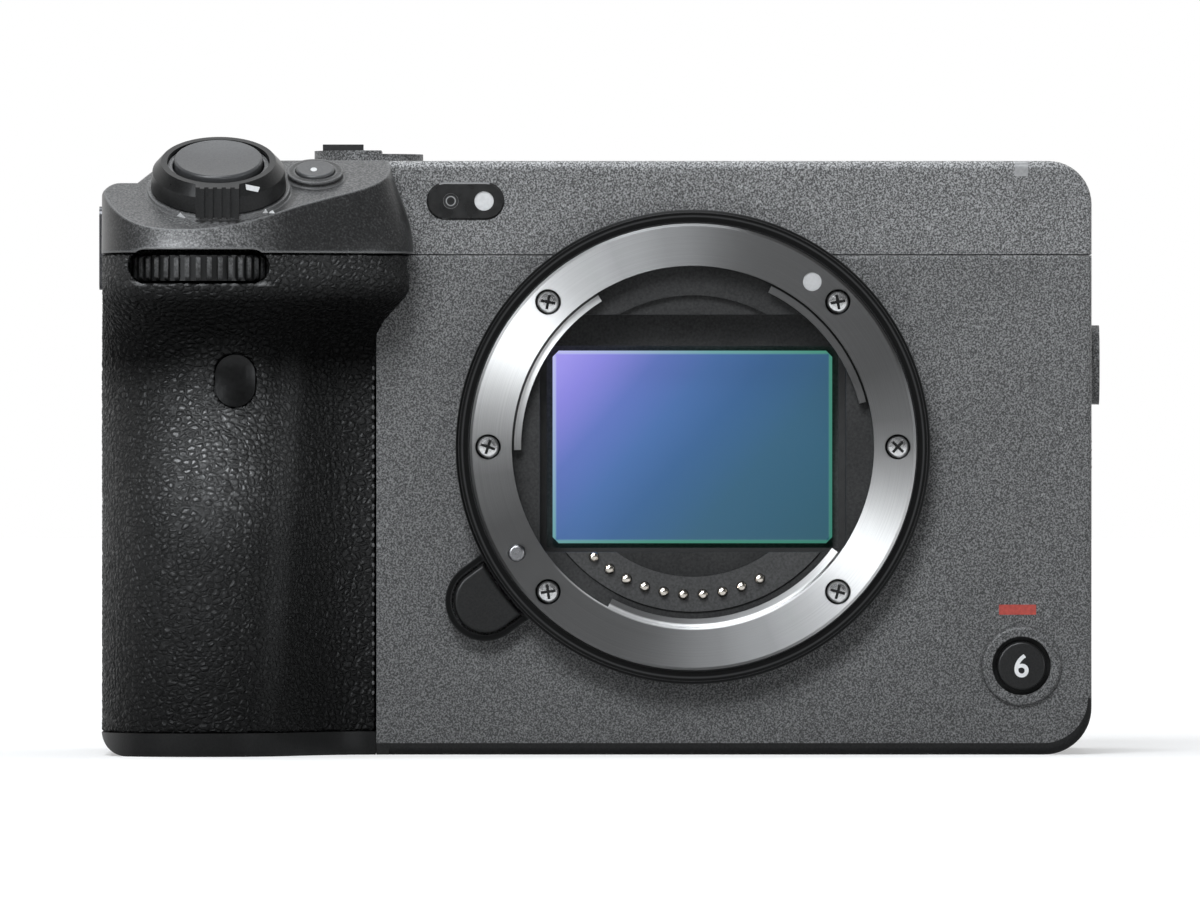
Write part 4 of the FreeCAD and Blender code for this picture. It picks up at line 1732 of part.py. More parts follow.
# Battery, its box and its door
def battery():
    body = block(BATTERY_LEFT, BATTERY_RIGHT, BATTERY_FRONT_Y, BATTERY_BACK_Y, BATTERY_LOW, BATTERY_TOP)
    upright = [edge for edge in body.Edges if abs(edge.Length - BATTERY_HEIGHT) < 1e-6]
    body = body.makeFillet(1.2, upright)
    left = BATTERY_LEFT + BATTERY_CONTACT_INSET
    contacts = []
    for index in range(BATTERY_CONTACTS):
        y = BATTERY_FRONT_Y + BATTERY_CONTACT_START + BATTERY_CONTACT_PITCH * index
        contacts.append(block(left, left + BATTERY_CONTACT_LENGTH, y, y + BATTERY_CONTACT_WIDTH,
                              BATTERY_TOP - 1.0, FAR))
    return take(body, contacts)


def battery_box():
    play = BATTERY_PLAY
    left = BATTERY_LEFT - play
    right = BATTERY_RIGHT + play
    front = BATTERY_FRONT_Y - play
    back = BATTERY_BACK_Y + play
    top = BATTERY_TOP + BOX_CEILING_GAP
    outside = block(left - BOX_WALL, right + BOX_WALL, front - BOX_WALL, back + BOX_WALL, CAVITY_FLOOR,
                    top + BOX_WALL)
    contact_left = BATTERY_LEFT + BATTERY_CONTACT_INSET
    contact_front = BATTERY_FRONT_Y + BATTERY_CONTACT_START
    rail = block(contact_left, contact_left + BATTERY_CONTACT_LENGTH, contact_front,
                 contact_front + BATTERY_CONTACT_PITCH * BATTERY_CONTACTS,
                 top + BOX_WALL, top + BOX_WALL + BATTERY_CONTACT_RAIL)
    return join([outside.cut(block(left, right, front, back, 0, top)), rail])


def battery_door():
    width = BATTERY_DOOR_RIGHT - BATTERY_DOOR_LEFT
    length = BATTERY_DOOR_BACK_Y - BATTERY_DOOR_FRONT_Y
    panel = door_panel(width, length, BATTERY_DOOR_THICKNESS, 1.5)
    hinge_x = BATTERY_DOOR_RIGHT - BATTERY_DOOR_THICKNESS / 2
    panel = turned(panel, (0, 0, 1), 0, (hinge_x, BATTERY_DOOR_FRONT_Y, BATTERY_DOOR_THICKNESS / 2))
    low_y = LATCH_Y - LATCH_LENGTH / 2 - FREE_GAP
    high_y = low_y + LATCH_LENGTH + LATCH_TRAVEL + 2 * FREE_GAP
    half = LATCH_WIDTH / 2
    undercut = block(LATCH_X - half - SLIDE_GAP, LATCH_X + half + SLIDE_GAP, low_y, high_y,
                     LATCH_FLOOR, LATCH_THICKNESS + SLIDE_GAP)
    mouth_half = half - LATCH_RAIL
    mouth = block(LATCH_X - mouth_half, LATCH_X + mouth_half, low_y, high_y, -1, LATCH_THICKNESS)
    return take(panel, [undercut, mouth])


def battery_latch():
    half = LATCH_WIDTH / 2
    low_y = LATCH_Y - LATCH_LENGTH / 2
    slider = block(LATCH_X - half, LATCH_X + half, low_y, low_y + LATCH_LENGTH,
                   LATCH_FLOOR + RUN_GAP, LATCH_THICKNESS)
    thumb_half = half - LATCH_RAIL - SLIDE_GAP
    thumb = block(LATCH_X - thumb_half, LATCH_X + thumb_half, low_y, low_y + LATCH_LENGTH,
                  0.02, LATCH_THICKNESS)
    grooves = [block(-FAR, FAR, low_y + 1 + 1.2 * index, low_y + 1.5 + 1.2 * index, -1, 0.25)
               for index in range(5)]
    return take(join([slider, thumb]), grooves)


def card_reader():
    back_y = READER_FRONT_Y + READER_DEPTH
    body = block(READER_LEFT, READER_RIGHT, READER_FRONT_Y, back_y, READER_LOW, READER_TOP)
    slots = []
    for front in (READER_FRONT_Y + CARD_SLOT_MARGIN, back_y - CARD_SLOT_MARGIN - CARD_SLOT):
        slots.append(block(READER_LEFT - 1, READER_RIGHT - 3, front, front + CARD_SLOT,
                           CARD_SLOT_LOW, CARD_SLOT_TOP))
    return take(body, slots)


# Monitor, stowed in its pocket
def monitor_front_y():
    return POCKET_Y + MONITOR_BACK_GAP


def monitor_screen_y():
    return monitor_front_y() + MONITOR_THICKNESS


def monitor_housing():
    corners = rectangle(MONITOR_LEFT, MONITOR_RIGHT, MONITOR_LOW, MONITOR_TOP, MONITOR_CORNER)
    body = to_front(slab(corners, -monitor_screen_y(), -monitor_front_y()))
    body = body.makeFillet(0.8, edges_at(body, monitor_front_y()))
    body = body.makeFillet(0.8, edges_at(body, monitor_screen_y()))
    return body.cut(glass_seat())


def glass_seat():
    inset = GLASS_INSET
    corners = rectangle(MONITOR_LEFT + inset, MONITOR_RIGHT - inset, MONITOR_LOW + inset, MONITOR_TOP - inset,
                        MONITOR_CORNER - inset / 2)
    return to_front(slab(corners, -FAR, -monitor_screen_y() + MONITOR_GLASS_THICKNESS))


def monitor_glass():
    return glass_seat().common(block(-FAR, FAR, -FAR, monitor_screen_y(), -FAR, FAR))


def monitor_arm():
    low = EAR_LOW + EAR_HEIGHT + FREE_GAP
    top = EAR_TOP - EAR_HEIGHT - FREE_GAP
    barrel = rod(HINGE_BARREL, top - low, (HINGE_X, HINGE_Y, low))
    web = block(MONITOR_RIGHT, HINGE_X, HINGE_Y - 1.6, HINGE_Y + 1.6, low, top)
    arm = join([barrel, web])
    return arm.cut(rod(HINGE_PIN + RUN_GAP, FAR, (HINGE_X, HINGE_Y, 0)))


PIECES = {
    "front_cover": front_cover,
    "top_cover": top_cover,
    "rear_cover": rear_cover,
    "base_plate": base_plate,
    "grip_shell": grip_shell,
    "grip_skin": grip_skin,
    "grip_crown": grip_crown,
    "mount_ring": mount_ring,
    "mount_trim": mount_trim,
    "mount_screws": mount_screws,
    "throat_baffle": throat_baffle,
    "contact_block": contact_block,
    "lamp_window": lamp_window,
    "lamp_lenses": lamp_lenses,
    "tally_lamp": tally_lamp,
    "ir_window": ir_window,
    "chassis": chassis,
    "shutter_frame": shutter_frame,
    "sensor_base": sensor_base,
    "heat_sink": heat_sink,
    "fan_housing": fan_housing,
    "main_board": main_board,
    "card_reader": card_reader,
    "battery": battery,
    "battery_box": battery_box,
    "accessory_shoe": accessory_shoe,
    "thread_bushes": thread_bushes,
    "connectors": connectors,
    "strap_lugs": strap_lugs,
    "case_screws": case_screws,
    "release_button": release_button,
    "zoom_lever": zoom_lever,
    "deck_button": deck_button,
    "power_switch": power_switch,
    "front_dial": front_dial,
    "lens_release": lens_release,
    "lock_pin": lock_pin,
    "lens_contacts": lens_contacts,
    "record_button": record_button,
    "sensor_frame": sensor_frame,
    "sensor_stage": sensor_stage,
    "sensor_glass": sensor_glass,
    "fan_rotor": fan_rotor,
    "monitor_arm": monitor_arm,
    "monitor_housing": monitor_housing,
    "monitor_glass": monitor_glass,
    "battery_door": battery_door,
    "battery_latch": battery_latch,
    "card_door": card_door,
    "audio_door": audio_door,
    "video_door": video_door,
    "rear_dial": rear_dial,
    "control_wheel": control_wheel,
    "wheel_button": wheel_button,
    "joystick": joystick,
    "menu_button": menu_button,
    "play_button": play_button,
}

os.makedirs("parts", exist_ok=True)
for name, make in PIECES.items():
    make().exportStep("parts/" + name + ".step")
for index in range(BLADE_COUNT):
    shutter_blade(index).exportStep("parts/shutter_blade_" + str(index + 1) + ".step")
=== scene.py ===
# %% [markdown]
# # A cinema camera body and its looks
# The solids of this camera come from a CAD model: every casing, ring, button and door is already
# there in metres, with joints between the bodies. This lesson dresses that model. First come the
# camera, the lights and the floor, then one finish after another, then the pieces that a CAD
# model is poor at: leather grain, screw heads, contact pins, small marks, sound holes and ribs.

# %% Load the frame
import math
import bpy
import bmesh
from mathutils import Matrix, Vector
from mathutils.bvhtree import BVHTree


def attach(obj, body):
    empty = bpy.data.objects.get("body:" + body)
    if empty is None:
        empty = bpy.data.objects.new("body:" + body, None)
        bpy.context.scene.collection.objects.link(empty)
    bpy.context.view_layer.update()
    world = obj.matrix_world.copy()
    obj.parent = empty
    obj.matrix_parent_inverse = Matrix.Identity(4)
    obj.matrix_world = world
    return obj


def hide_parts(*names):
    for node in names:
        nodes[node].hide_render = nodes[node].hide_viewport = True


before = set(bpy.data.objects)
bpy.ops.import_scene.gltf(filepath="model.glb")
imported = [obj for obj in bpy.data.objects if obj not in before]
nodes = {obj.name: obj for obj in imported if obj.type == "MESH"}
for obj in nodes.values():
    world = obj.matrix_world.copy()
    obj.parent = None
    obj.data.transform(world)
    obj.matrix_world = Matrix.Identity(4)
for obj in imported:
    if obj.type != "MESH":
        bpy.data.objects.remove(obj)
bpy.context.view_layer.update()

scene = bpy.context.scene
MM = 0.001
AXIS_MM = 39.8
AXIS_Z = AXIS_MM * MM


def mm(*values):
    """Millimetres as metres."""
    return tuple(value * MM for value in values)


def in_scene(name, data):
    thing = bpy.data.objects.new(name, data)
    scene.collection.objects.link(thing)
    return thing


# %% [markdown]
# ## The photographer's place
# The photograph is level and taken with a long lens, so nothing converges. A camera 2.5 m in
# front with a narrow view does the same. The picture is 155 mm wide at the front of the casing.

# %% Camera
VIEW_DISTANCE = 2.5
VIEW_WIDTH = 155.2 * MM
FRONT_Y = -22.0 * MM
VIEW_X = -12.0 * MM
VIEW_Z = 39.4 * MM
FILM_WIDTH = 36.0
lens_data = bpy.data.cameras.new("view")
lens_data.sensor_fit = "HORIZONTAL"
lens_data.sensor_width = FILM_WIDTH
lens_data.lens = FILM_WIDTH * VIEW_DISTANCE / VIEW_WIDTH
lens_data.clip_end = 50.0
view = in_scene("view", lens_data)
view.location = (VIEW_X, FRONT_Y - VIEW_DISTANCE, VIEW_Z)
view.rotation_euler = (math.pi / 2, 0.0, 0.0)
scene.camera = view
scene.view_settings.view_transform = "Standard"
print("lens", round(lens_data.lens), "mm")

# %% [markdown]
# ## Short ways to write nodes
# Finishes, light and grown pieces are all node trees here. Written out, each node takes several
# lines, so `Nodes` adds them in a word: `put` makes one, `calc` and `vector` do sums, and `fade`
# turns one range of values into another.

# %% Node helpers


def shade(value):
    """A colour with its alpha. Sockets pass unchanged."""
    if isinstance(value, float):
        value = (value, value, value)
    return (*value, 1.0) if isinstance(value, tuple) else value


class Nodes:
    """Adds nodes to a tree. A socket given as a value is joined, anything else is written in."""

    def __init__(self, tree):
        self.tree = tree

    def give(self, socket, value):
        if isinstance(value, bpy.types.NodeSocket):
            self.tree.links.new(value, socket)
        else:
            socket.default_value = value

    def put(self, kind, *inputs, **named):
        """One node. Names with a capital are its sockets, the others are facts about the node."""
        node = self.tree.nodes.new(kind if "Node" in kind else "ShaderNode" + kind)
        for name, value in named.items():
            if name[0].islower():
                setattr(node, name, value)
        for spot, value in enumerate(inputs):
            self.give(node.inputs[spot], value)
        for name, value in named.items():
            if name[0].isupper():
                self.give(node.inputs[name.replace("_", " ")], value)
        return node

    def calc(self, how, *values):
        return self.put("Math", *values, operation=how).outputs[0]

    def product(self, first, *others):
        for other in others:
            first = self.calc("MULTIPLY", first, other)
        return first

    def vector(self, how, *values, **named):
        """Vector sums. A length and a dot product come out as one number."""
        node = self.put("VectorMath", *values, operation=how, **named)
        return node.outputs["Value" if how in ("LENGTH", "DOT_PRODUCT") else "Vector"]

    def fade(self, value, start, end, low=0.0, high=1.0, smooth=False):
        """From low to high while the value goes from start to end."""
        return self.put("MapRange", Value=value, From_Min=start, From_Max=end, To_Min=low, To_Max=high,
                        interpolation_type="SMOOTHSTEP" if smooth else "LINEAR").outputs[0]


print("node helpers ready")

# %% [markdown]
# ## Finishes
# Every finish is a material with a Principled shader. Its patterns read Object coordinates, which
# are metres in the camera's own frame, so a scale of 1000 is one per mm. A colour that is a plain
# number stands for a grey.

# %% Finish helper
ODD_TURN = (0.6, 0.35, 0.8)


class Finish(Nodes):
    """A material with a Principled shader."""

    def __init__(self, name, colour, rough, metal=0.0, specular=0.5, **more):
        self.mat = bpy.data.materials.new(name)
        self.mat.use_nodes = True
        self.mat.diffuse_color = shade(colour)
        super().__init__(self.mat.node_tree)
        self.shader = self.tree.nodes["Principled BSDF"]
        self.dress(Base_Color=colour, Roughness=rough, Metallic=metal, Specular_IOR_Level=specular, **more)

    def dress(self, **sockets):
        """Give the shader's own sockets their values."""
        for name, value in sockets.items():
            value = shade(value) if name.endswith("Color") else value
            self.give(self.shader.inputs[name.replace("_", " ")], value)

    def wear(self, *node_names):
        """Put this finish on CAD nodes."""
        for name in node_names:
            for slot in nodes[name].material_slots:
                slot.material = self.mat

    def tone(self):
        """The colour that reaches the shader so far."""
        return self.shader.inputs["Base Color"].links[0].from_socket

    def bump(self, height, depth, **more):
        relief = self.put("Bump", Strength=1.0, Distance=depth, Height=height, **more)
        self.dress(Normal=relief.outputs["Normal"])

    def place(self):
        return self.put("TexCoord").outputs["Object"]

    def parts(self):
        """X, Y and Z of the place."""
        return self.put("SeparateXYZ", self.place()).outputs[:]

    def askew(self):
        """The place turned by odd angles, so that no flat side lies along a noise's own grid."""
        return self.put("Mapping", Vector=self.place(), Rotation=ODD_TURN).outputs[0]

    def noise(self, scale, detail=2.0, rough=0.5, at=None):
        return self.put("TexNoise", Vector=at or self.place(), Scale=scale, Detail=detail,
                        Roughness=rough).outputs["Fac"]

    def cells(self, scale, feature="F1", out="Distance", at=None):
        return self.put("TexVoronoi", Vector=at or self.place(), Scale=scale, feature=feature).outputs[out]

    def ramp(self, value, *stops):
        """A value turned into colours, given as (position, colour) pairs."""
        node = self.put("ValToRGB", value)
        elements = node.color_ramp.elements
        while len(elements) < len(stops):
            elements.new(0.5)
        for element, (spot, colour) in zip(elements, stops):
            element.position = spot
            element.color = shade(colour)
        return node.outputs["Color"]

    def mix(self, part, a, b, how="MIX"):
        node = self.put("Mix", data_type="RGBA", blend_type=how)
        for spot, value in ((0, part), (6, shade(a)), (7, shade(b))):
            self.give(node.inputs[spot], value)
        return node.outputs[2]

    def times(self, a, b):
        return self.mix(1.0, a, b, "MULTIPLY")

    def off(self, value, middle):
        """How far a value is from a middle, on either side."""
        return self.calc("ABSOLUTE", self.calc("SUBTRACT", value, middle))


print("finish helper ready")

# %% [markdown]
# ## Backdrop
# The picture has a pure white background. The world is white to the camera, and to metal and
# glass that mirror it, but it doesn't throw more light on the camera body. The room behind the
# photographer is dim, as in a studio: that is what gives the bright metal its dark parts.

# %% World
ROOM_DIM = 0.08
ROOM_PALE = 0.7
world = bpy.data.worlds.new("studio")
scene.world = world
world.use_nodes = True
world.node_tree.nodes.clear()
sky = Nodes(world.node_tree)
direction = sky.put("SeparateXYZ", sky.put("TexCoord").outputs["Generated"])
towards_wall = sky.fade(direction.outputs["Y"], -0.15, 0.6, smooth=True)
path = sky.put("LightPath").outputs
mirrored = sky.calc("MAXIMUM", path["Is Glossy Ray"], path["Is Transmission Ray"])
wall_level = sky.fade(mirrored, 0.0, 1.0, ROOM_PALE, 1.0)
room = sky.fade(towards_wall, 0.0, 1.0, ROOM_DIM, wall_level)
seen = sky.calc("MAXIMUM", path["Is Camera Ray"], room)
backdrop = sky.put("Background", Color=shade(1.0), Strength=seen)
sky.put("OutputWorld", Surface=backdrop.outputs[0])
print("world: room", ROOM_DIM, "wall", ROOM_PALE)

# %% [markdown]
# ## Lamps
# One large soft panel at the upper left, a weak one at the right and one overhead light a surface
# so that a colour shows about as it is written. A last lamp at the left is seen only in
# reflections, and gives the leather and the paint their sheen.

# %% Lamps
DAYLIGHT = (0.93, 0.965, 1.0)
LAMPS_AIM = Vector((0.0, -0.01, 0.04))


def soft_panel(name, place, size, power):
    data = bpy.data.lights.new(name, "AREA")
    data.color = DAYLIGHT
    data.shape = "DISK"
    data.size = size
    data.energy = power
    lamp = in_scene(name, data)
    lamp.location = place
    lamp.rotation_euler = (LAMPS_AIM - Vector(place)).to_track_quat("-Z", "Y").to_euler()
    return lamp


soft_panel("key", (-0.24, -1.12, 1.0), 0.65, 17.0)
soft_panel("fill", (1.2, -0.7, 0.25), 0.5, 2.4)
soft_panel("top", (-0.1, 0.15, 1.1), 0.7, 4.0)
sheen = soft_panel("sheen", (-0.75, -1.2, 0.53), 0.4, 9.0)
sheen.visible_diffuse = False
print("three soft panels and a sheen lamp")

# %% [markdown]
# ## Floor
# The floor is pale and glows a little towards the camera, more the farther it lies, so that it
# melts into the backdrop and keeps only a soft shadow.

# %% Floor
FLOOR_HALF = 6.0
FLOOR_MIRRORED = 0.25
floor_mesh = bpy.data.meshes.new("floor")
corners = [(x * FLOOR_HALF, y * FLOOR_HALF, 0) for x, y in ((-1, -1), (1, -1), (1, 1), (-1, 1))]
floor_mesh.from_pydata(corners, [], [(0, 1, 2, 3)])
floor = in_scene("floor", floor_mesh)
ground = Finish("pale_floor", 0.62, 0.9, specular=0.0, Emission_Color=1.0)
path = ground.put("LightPath").outputs
in_mirrors = ground.calc("MULTIPLY", path["Is Glossy Ray"], FLOOR_MIRRORED)
floor_seen = ground.calc("MAXIMUM", path["Is Camera Ray"], in_mirrors)
far_lift = ground.fade(ground.vector("LENGTH", ground.place()), 0.15, 1.2, 0.42, 0.95)
ground.dress(Emission_Strength=ground.calc("MULTIPLY", floor_seen, far_lift))
floor_mesh.materials.append(ground.mat)
print("floor ready")

# %% [markdown]
# ## The casing paint
# The metal casing has a fine powder paint: a mid grey with tiny lighter and darker grains and a
# few sparkling flakes, slightly rough to the touch. A fine noise speckles the grey, a broad one
# varies its tone softly, the brightest cells of a fine cell pattern are the flakes, and the fine
# noise gives a bump too, so that the light breaks up in it. Painted shade and light make the
# paint darker towards the bottom and paler above the seam of the top cover, with a painted pale
# line just under the seam and a painted highlight along the front top edge.

# %% Casing paint
PAINT = 0.108
PAINT_ROUGH = 0.42
PAINT_GRAIN = 4700.0
PAINT_DEPTH = 0.03 * MM
FLAKE = 0.10
PAINT_TOP = 78.0 * MM
WEAR_SPAN = 80.0 * MM
SEAM_AT = 64.6 / 80.0
SEAM_LIGHT = ((0.0, 1.0), (SEAM_AT - 0.006, 1.0), (SEAM_AT - 0.003, 1.5), (SEAM_AT + 0.001, 1.3), (1.0, 1.3))
EDGE_HIGHLIGHT = 2.2


def powder_paint(name, level):
    paint = Finish(name, level, PAINT_ROUGH, specular=0.45)
    fine = paint.noise(PAINT_GRAIN, 1.0, 0.6, at=paint.askew())
    speckled = paint.ramp(fine, (0.365, level * 0.27), (0.5, level * 0.92), (0.635, level * 2.08))
    shaded = paint.times(speckled, paint.ramp(paint.noise(60.0), (0.3, 0.94), (0.7, 1.04)))
    flakes = paint.ramp(paint.cells(PAINT_GRAIN * 0.55, out="Color"), (0.90, 0.0), (0.97, FLAKE))
    _, y, z = paint.parts()
    # Painted light and shade: the paint grows paler from the bottom to the top.
    painted_height_light = paint.times(paint.mix(1.0, shaded, flakes, "ADD"), paint.fade(z, 0.0, PAINT_TOP, 0.77, 1.20))
    # Painted light: a pale line just under the seam of the top cover, and a paler top cover above it.
    seam_light = paint.ramp(paint.calc("DIVIDE", z, WEAR_SPAN), *SEAM_LIGHT)
    # A painted highlight along the front top edge.
    front_edge_highlight = paint.product(paint.fade(z, *mm(75.6, 76.6)), paint.fade(y, *mm(-20.4, -21.2)))
    paint.dress(Base_Color=paint.times(painted_height_light, paint.mix(front_edge_highlight, seam_light, EDGE_HIGHLIGHT)),
                Roughness=paint.ramp(fine, (0.3, PAINT_ROUGH + 0.12), (0.7, PAINT_ROUGH - 0.08)))
    paint.bump(fine, PAINT_DEPTH)
    return paint


casing_paint = powder_paint("casing_paint", PAINT)
casing_paint.wear("front_cover", "top_cover", "rear_cover", "card_door")
print("casing painted")

# %% [markdown]
# ## Moulded black parts
# Black plastic is never one flat black: a mould leaves a very fine texture, and hands polish the
# high places. `moulded` makes a family of such finishes from one recipe, from dull to glossy. The
# dials' own finish paints shade into the grooves between the rib tops, and paints light on the
# upper ribs.

# %% Moulded plastics
def moulded(name, level, rough, grain=2600.0, depth=0.02, specular=0.5, spread=0.35, polish=0.08, **more):
    """A plastic of a grey level and a roughness. The depth of its texture is in mm."""
    plastic = Finish(name, level, rough, specular=specular, **more)
    fine = plastic.noise(grain, 2.0, 0.55, at=plastic.askew())
    broad = plastic.noise(90.0, 3.0)
    base = plastic.ramp(fine, (0.3, level * (1 - spread)), (0.7, level * (1 + spread)))
    plastic.dress(Base_Color=plastic.times(base, plastic.ramp(broad, (0.35, 0.86), (0.68, 1.12))),
                  Roughness=plastic.ramp(broad, (0.35, rough + polish), (0.7, max(0.03, rough - polish))))
    plastic.bump(fine, depth * MM)
    return plastic


def reach(finish, a, a_middle, b, b_middle):
    """Distance from an axis, told from two parts of the place."""
    sides = finish.calc("SUBTRACT", a, a_middle), finish.calc("SUBTRACT", b, b_middle)
    return finish.vector("LENGTH", finish.put("CombineXYZ", *sides).outputs[0])


def dial_finish(name, x, y, z, edge):
    """Painted shade in the grooves, painted light on the upper rib tops; the axis x, y, middle height z and
    edge are in mm.
    """
    dial = Finish(name, 0.01, 0.36, specular=0.4)
    place_x, place_y, place_z = dial.parts()
    # Painted shade: the grooves between the ribs get a near-black colour.
    top = dial.fade(reach(dial, place_x, x * MM, place_y, y * MM), *mm(edge - 0.35, edge - 0.1))
    speck = dial.ramp(dial.noise(3000.0), (0.35, 0.02), (0.65, 0.075))
    # Painted light: the rib tops grow paler towards the top of the dial.
    lit = dial.fade(place_z, *mm(z - 1.6, z + 1.7), 0.45, 1.9)
    dial.dress(Base_Color=dial.mix(top, 0.004, dial.times(speck, lit)))
    return dial


moulded("base_black", 0.011, 0.5, 3400.0, specular=0.18).wear(
    "base_plate", "monitor_arm", "battery_door", "battery_latch")
door_rubber = moulded("door_rubber", 0.018, 0.55, 2200.0, 0.04, specular=0.3)
door_rubber.wear("audio_door", "video_door")
moulded("shell_black", 0.007, 0.42, 3800.0, 0.015, specular=0.22).wear(
    "grip_shell", "fan_rotor", "battery_box", "fan_housing")
moulded("control_black", 0.013, 0.33, 4200.0, 0.01, specular=0.3).wear(
    "zoom_lever", "lens_release", "record_button", "control_wheel", "wheel_button",
    "joystick", "menu_button", "play_button", "monitor_housing")
dial_finish("front_dial_black", -63.5, -35.2, 62.7, 9.6).wear("front_dial")
dial_finish("rear_dial_black", -62.0, 28.2, 68.3, 9.0).wear("rear_dial")
moulded("dull_black", 0.028, 0.65, 3000.0, 0.03, specular=0.25).wear("throat_baffle")
moulded("block_black", 0.048, 0.45, 3000.0, 0.02, specular=0.35).wear("contact_block")
moulded("shutter_black", 0.010, 0.55, 900.0, 0.01).wear(
    "shutter_frame", "shutter_blade_1", "shutter_blade_2", "shutter_blade_3")
moulded("gloss_black", 0.028, 0.09, 500.0, 0.002, polish=0.03, Coat_Weight=0.6, Coat_Roughness=0.03).wear(
    "lamp_window")
moulded("window_smoke", 0.006, 0.30, 1500.0, specular=0.25, polish=0.03).wear("ir_window")
print("black parts done")

# %% [markdown]
# ## The bayonet ring
# The bayonet ring is turned on a lathe and left bright: fine rings of tool marks spread its
# highlight into two opposite fans. Anisotropy with a tangent that runs round the optical axis
# gives that, painted highlights in colours that follow the angle place the fans and the dark
# between them, and a noise drawn out along the circles gives the marks. Faces sunk behind the
# front are painted in shade, and the inner lip has a painted highlight on its lower arc.

# %% Bayonet ring
TRACKS = 16000.0
FAN_ANGLE = 2.62
LIP_RADIUS = 23.25 * MM
ring = Finish("turned_metal", 0.86, 0.33, metal=1.0, Anisotropic=0.9, Anisotropic_Rotation=0.25)
ring.dress(Tangent=ring.put("Tangent", direction_type="RADIAL", axis="Y").outputs[0])
x, y, z = ring.parts()
radius = reach(ring, x, 0.0, z, AXIS_Z)
angle = ring.calc("ARCTAN2", ring.calc("SUBTRACT", z, AXIS_Z), x)
tracks = ring.put("CombineXYZ", ring.product(radius, TRACKS), ring.product(y, TRACKS), ring.product(angle, 0.8))
track_noise = ring.noise(1.0, 3.0, 0.6, at=tracks.outputs[0])
fans = ring.calc("COSINE", ring.product(ring.calc("SUBTRACT", angle, FAN_ANGLE), 2.0))
# Painted highlight: the bright fans and the dark between them are colours that follow the angle.
painted_fans = ring.ramp(ring.calc("MULTIPLY_ADD", fans, 0.5, 0.5), (0.0, 0.225), (0.2, 0.205), (0.375, 0.19),
                      (0.625, 0.27), (0.75, 0.42), (0.87, 0.67), (1.0, (0.90, 0.90, 0.89)))
fans_and_tool_marks = ring.times(painted_fans, ring.ramp(track_noise, (0.3, 0.82), (0.7, 1.0)))
# Painted shade on faces that lie sunk behind the front of the ring.
sunk_shade = ring.times(fans_and_tool_marks, ring.fade(y, *mm(-25.95, -25.7), 1.0, 0.15))
# A painted highlight on the inner lip, on its lower arc only.
lip_highlight = ring.fade(ring.off(radius, LIP_RADIUS), *mm(0.2, 0.42), 1.0, 0.0)
lower_arc = ring.fade(z, AXIS_Z - 15.0 * MM, AXIS_Z - 19.0 * MM)
ring.dress(Base_Color=ring.mix(ring.product(lip_highlight, lower_arc), sunk_shade, 1.0),
           Roughness=ring.ramp(track_noise, (0.3, 0.38), (0.7, 0.29)))
ring.bump(track_noise, 0.004 * MM)
ring.wear("mount_ring")
print("bayonet ring bright")

# %% [markdown]
# ## The black trim
# The trim round the ring has two thin pale lines, painted highlights, and painted highlights on
# its edges. A Bevel node finds the edges: it turns the normal there, and nowhere else.

# %% Trim ring
TRIM_INNER = 28.6 * MM
TRIM_WIDTH = 2.4 * MM
TRIM_HIGHLIGHT = 0.045
FLAT_FACE = 0.999


def rounded(finish, radius, turned):
    """Normals with rounded edges, and how much the rounding turns them away from the real face."""
    normal = finish.put("Bevel", Radius=radius).outputs[0]
    along = finish.vector("DOT_PRODUCT", normal, finish.put("NewGeometry").outputs["Normal"])
    return normal, finish.fade(along, FLAT_FACE, turned)


trim = Finish("trim_black", 0.008, 0.34, specular=0.12)
x, _, z = trim.parts()
across = trim.calc("DIVIDE", trim.calc("SUBTRACT", reach(trim, x, 0.0, z, AXIS_Z), TRIM_INNER), TRIM_WIDTH)
# Two thin pale rings across the trim are painted highlights.
highlight_lines = trim.ramp(across, (0.0, 0.002), (0.42, 0.003), (0.50, TRIM_HIGHLIGHT), (0.58, 0.003), (0.78, 0.003),
                  (0.86, 0.03), (1.0, 0.003))
# A painted highlight on every edge of the trim.
_, trim_edge_highlight = rounded(trim, 0.22 * MM, 0.98)
trim.dress(Base_Color=trim.mix(trim_edge_highlight, highlight_lines, TRIM_HIGHLIGHT))
trim.bump(trim.noise(3800.0), 0.01 * MM)
trim.wear("mount_trim")
print("trim ring black")

# %% [markdown]
# ## Small metals and painted buttons
# `satin_metal` is one recipe for screws, lugs, sockets and cast parts: a fine grain shifts both
# tone and roughness, and a stretched grain looks brushed. Without metal it is the satin grey of
# the buttons. The small button stands in a black collar, and the switch has the casing's paint
# with a black bar on top.

# %% Small metals
BRUSHED = (0.06, 1.0, 1.0)
DECK_LEAN = 26.0
LEVER_SEAT = (-61.1, -33.2, 72.78)
LEVER_SHADOW = (-61.1, -34.4, 72.19)
SMALL_SEAT = (-48.7, -29.5, 74.58)
COLLAR_FROM = 2.5 * MM
SWITCH_BAR_Z = 78.45 * MM


def satin_metal(name, colour, rough, grain=2500.0, depth=0.004, stretch=(1.0, 1.0, 1.0), metal=1.0):
    """A metal of a colour and a roughness. The depth of its grain is in mm."""
    satin = Finish(name, colour, rough, metal=metal)
    fine = satin.noise(grain, 3.0, 0.6, at=satin.put("Mapping", Vector=satin.place(), Scale=stretch).outputs[0])
    low = tuple(0.82 * c for c in colour)
    high = tuple(min(1.0, 1.1 * c) for c in colour)
    satin.dress(Base_Color=satin.ramp(fine, (0.3, low), (0.7, high)),
                Roughness=satin.ramp(fine, (0.3, rough + 0.08), (0.7, max(0.04, rough - 0.06))))
    satin.bump(fine, depth * MM)
    return satin


def button_finish(name, level):
    return satin_metal(name, (level, level + 0.001, level + 0.003), 0.34, 3800.0, 0.008, metal=0.0)


